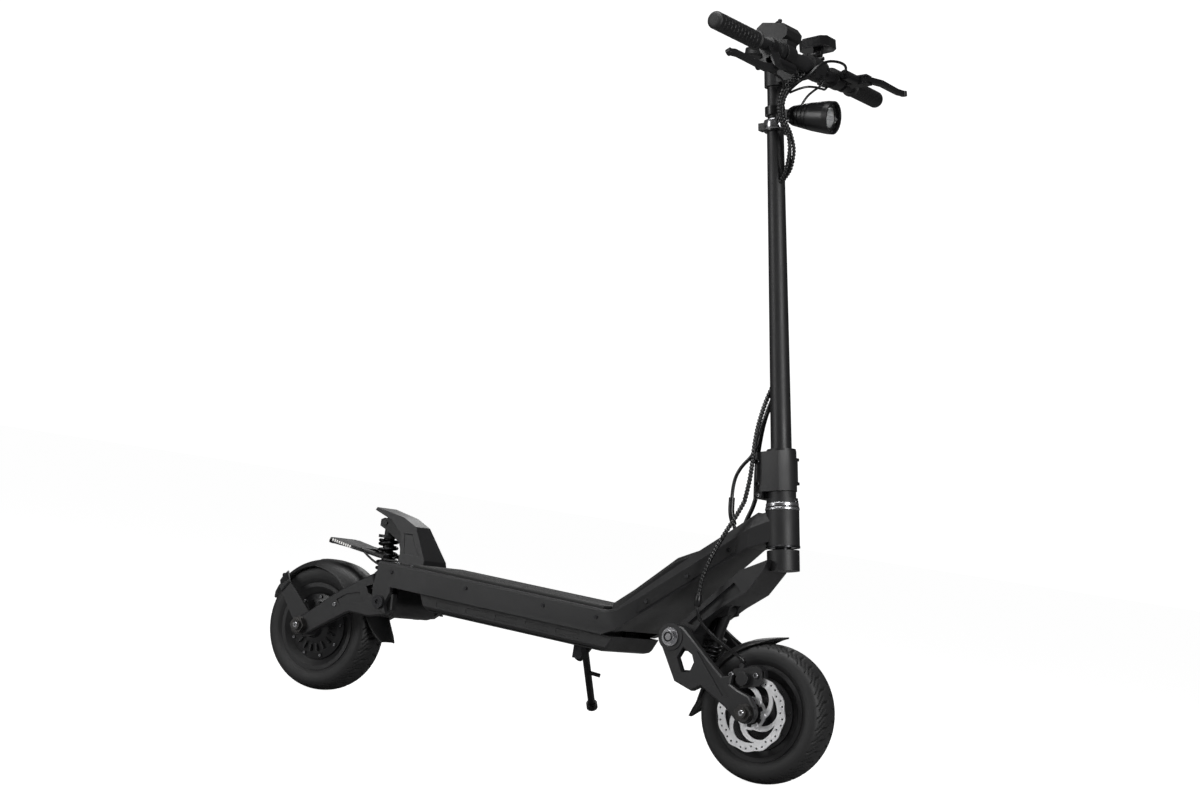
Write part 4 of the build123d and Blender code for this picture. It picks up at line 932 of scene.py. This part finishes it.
# body, finish, and the place, direction, head radius and height of each screw
screwSets = {
    "stemScrews": ("stem", blackSteel, "steel_black",
                   [(steer([(-37, s * 25.2, z)])[0], s * sideways, 4.6, 3.4)
                    for s in (-1, 1) for z in (47, 88)]),
    "foldScrews": ("steering", greySteel, "bright_steel",
                   [(steer([(27.6, s * 2.6, 12)])[0], s * sideways, 3.4, 3) for s in (-1, 1)]),
    "armScrews": ("rear_arm", greySteel, "bright_steel",
                  [(at([(-435, s * 87.6, 181)])[0], s * sideways, 4.2, 2.6) for s in (-1, 1)]),
    "caliperScrews": ("front_arm", greySteel, "bright_steel",
                      [(at([(x, -71.2, z)])[0], -sideways, 5.0, 4.2) for x, z in ((466, 190), (516, 196))]),
    "deckScrews": ("frame", greySteel, "bright_steel",
                   [(at([(x, s * 64, 274 - 0.0314 * (x + 70))])[0], (0, 0, 1), 4.2, 2.4)
                    for x in (-312, -278) for s in (-1, 1)]),
}
for name, (body, material, finish, places) in screwSets.items():
    makePiece(name, [screwPart(*place) for place in places], body, material)


def washerPart(place, side, inner, outer, thick):
    profile = [(inner, 0), (outer - 0.4, 0), (outer, 0.4), (outer, thick - 0.4), (outer - 0.4, thick),
               (inner, thick)]
    return spinPart(profile, place, (0, side, 0), 64, closed=True)


trimSets = {
    "frontPivotTrim": ("steering", blackSteel, "steel_black",
                       [washerPart(at([(338, s * 98.0, 238)])[0], s, 6.6, 9.2, 1.2) for s in (-1, 1)]),
    "frontAxleTrim": ("front_arm", brightSteel, "bright_steel",
                      [washerPart(at([(513, s * 103.4, 127.5)])[0], s, 2.2, 5.2, 1.0) for s in (-1, 1)]),
    "rearAxleTrim": ("rear_arm", brightSteel, "bright_steel",
                     [washerPart(at([(-513, s * 103.4, 127.5)])[0], s, 2.2, 5.2, 1.0) for s in (-1, 1)]),
    "coverBolts": ("rear_wheel", greySteel, "bright_steel",
                   [screwPart(rearAxle + [0.060 * np.cos(a), -0.0335, 0.060 * np.sin(a)], -sideways, 2.9,
                              1.6)
                    for a in np.radians(np.arange(9) * 40 + 10)]),
    "frontCarrier": ("front_wheel", smoothCoat, "cast_black",
                     [washerPart(frontAxle + [0, -0.0635, 0], -1, 13, 20.5, 1.4)]
                     + [pillowPart(frontAxle + [0.0215 * np.cos(a), -0.0642, 0.0215 * np.sin(a)],
                                   [(np.cos(a), 0, np.sin(a)), (-np.sin(a), 0, np.cos(a)), (0, 1, 0)],
                                   (3.4, 4.4, 0.8), 0.4,
                                   8, 16) for a in np.radians(np.arange(6) * 60 + 30)]),
}
for name, (body, material, finish, parts) in trimSets.items():
    makePiece(name, parts, body, material)

screenShape = {"middle": (386, 36, 1372), "tilt": 14, "dialMarks": 9, "dialRadius": 12, "bars": 5}
screenMiddle = at([screenShape["middle"]])[0]
tilt = np.radians(screenShape["tilt"])
screenAlong = np.array([np.cos(tilt), 0, np.sin(tilt)])
screenUp = np.array([-np.sin(tilt), 0, np.cos(tilt)])


def screenPoint(along, across, height):
    return screenMiddle + (screenAlong * along + sideways * across + screenUp * height) * 0.001


screenAxes = [screenAlong, sideways, screenUp]
makePiece("screenGlass", [pillowPart(screenPoint(1.5, 0, 9.8), screenAxes, (22.2, 18.8, 0.8), 0.14)],
          "stem",
          glossPlastic)
marks = []
for k in range(screenShape["dialMarks"]):
    turn = np.radians(200 - k * 27.5)
    spoke = screenAlong * np.sin(turn) + sideways * np.cos(turn)
    place = screenPoint(3 + screenShape["dialRadius"] * np.sin(turn),
                        screenShape["dialRadius"] * np.cos(turn), 10.7)
    marks.append(pillowPart(place, [spoke, np.cross(screenUp, spoke), screenUp], (2.2, 0.8, 0.2), 0.3, 6,
                            10))
for k in range(screenShape["bars"]):
    marks.append(pillowPart(screenPoint(-14, -9 + 4.5 * k, 10.7), screenAxes, (1.6, 1.5, 0.2), 0.3, 6, 10))
makePiece("screenMarks", marks, "stem", screenMark)
hook = smoothLine(at([(374, -96, 1352), (373, -97, 1366), (364, -98, 1372), (366, -98, 1384),
                      (374, -97, 1386)]), 0.001)
hookKnob = pillowPart(at([(374, -97, 1386)])[0], np.eye(3), (4.2, 3.2, 4.2), 0.8)
makePiece("bellHook", [tubePart(hook, 1.8, 12), hookKnob], "stem", blackSteel)
print("small pieces made")


def makeStudio():
    # a wide pale floor under an even white sky; the sky lights less than it shows, so that blacks stay deep
    reach = np.array([0.01, 1, 3, 9, 30, 90, 150])
    turn = np.linspace(0, 2 * np.pi, 96, endpoint=False)
    grid = np.stack([reach[:, None] * np.cos(turn), reach[:, None] * np.sin(turn),
                     0 * reach[:, None] + 0 * turn], -1)
    points, faces = gridPart(grid, closeAround=True)
    mesh = bpy.data.meshes.new("floor")
    mesh.from_pydata(points.tolist(), [], faces + [list(range(96))])
    floor = bpy.data.objects.new("floor", mesh)
    bpy.context.scene.collection.objects.link(floor)
    if mesh.polygons[0].normal.z < 0:
        mesh.flip_normals()
    pale = bpy.data.materials.new("paleFloor")
    pale.use_nodes = True
    shader = pale.node_tree.nodes["Principled BSDF"]
    shader.inputs["Base Color"].default_value = (0.28, 0.28, 0.28, 1)
    shader.inputs["Roughness"].default_value = 0.95
    shader.inputs["Specular IOR Level"].default_value = 0.0
    path = pale.node_tree.nodes.new("ShaderNodeLightPath")
    pale.node_tree.links.new(path.outputs["Is Camera Ray"], shader.inputs["Emission Strength"])
    shader.inputs["Emission Color"].default_value = (0.97, 0.97, 0.97, 1)
    mesh.materials.append(pale)
    world = bpy.data.worlds.new("studio")
    bpy.context.scene.world = world
    world.use_nodes = True
    tree = world.node_tree
    back = tree.nodes["Background"]
    back.inputs["Color"].default_value = (1, 1, 1, 1)
    seen = tree.nodes.new("ShaderNodeLightPath")
    tree.links.new(mathNode(tree, "ADD", 0.07, mathNode(tree, "MULTIPLY", seen.outputs["Is Camera Ray"],
                                                        1.03)),
                   back.inputs["Strength"])


def softBox(name, place, aim, size, power):
    light = bpy.data.lights.new(name, "AREA")
    light.shape = "RECTANGLE"
    light.size, light.size_y = size
    light.energy = power
    box = bpy.data.objects.new(name, light)
    bpy.context.scene.collection.objects.link(box)
    box.location = place
    box.rotation_euler = (Vector(aim) - Vector(place)).to_track_quat("-Z", "Y").to_euler()


softBoxes = {
    "topBox": {"place": (-0.2, -1.2, 3.6), "aim": (0, 0, 0.4), "size": (2.6, 1.2), "power": 100},
    "frontBox": {"place": (3.6, -1.6, 1.5), "aim": (0.2, 0, 0.6), "size": (0.8, 2.2), "power": 85},
    "sideBox": {"place": (-2.4, -3.2, 1.5), "aim": (-0.1, 0, 0.4), "size": (1.0, 2.0), "power": 50},
    "backBox": {"place": (-1.6, 3.0, 2.6), "aim": (0, 0, 0.7), "size": (1.2, 1.6), "power": 25},
}
makeStudio()
for name, values in softBoxes.items():
    softBox(name, **values)

cameraView = {"place": (2701.19, -4205.45, 447.55), "yaw": 0.5620, "pitch": 0.0420, "roll": 0.1542,
              "lens": 77.5}
yaw, pitch, roll = cameraView["yaw"], cameraView["pitch"], cameraView["roll"]
ahead = np.array([-np.sin(yaw) * np.cos(pitch), np.cos(yaw) * np.cos(pitch), np.sin(pitch)])
level = np.array([np.cos(yaw), np.sin(yaw), 0])
above = np.cross(level, ahead)
right = level * np.cos(roll) + above * np.sin(roll)
upright = above * np.cos(roll) - level * np.sin(roll)
lens = bpy.data.cameras.new("camera")
lens.lens = cameraView["lens"]
lens.clip_end = 200
eye = bpy.data.objects.new("camera", lens)
bpy.context.scene.collection.objects.link(eye)
turned = Matrix([list(right), list(upright), list(-ahead)]).transposed().to_4x4()
eye.matrix_world = Matrix.Translation(Vector(at([cameraView["place"]])[0])) @ turned
bpy.context.scene.camera = eye
bpy.context.scene.view_settings.view_transform = "Standard"
print("studio made")
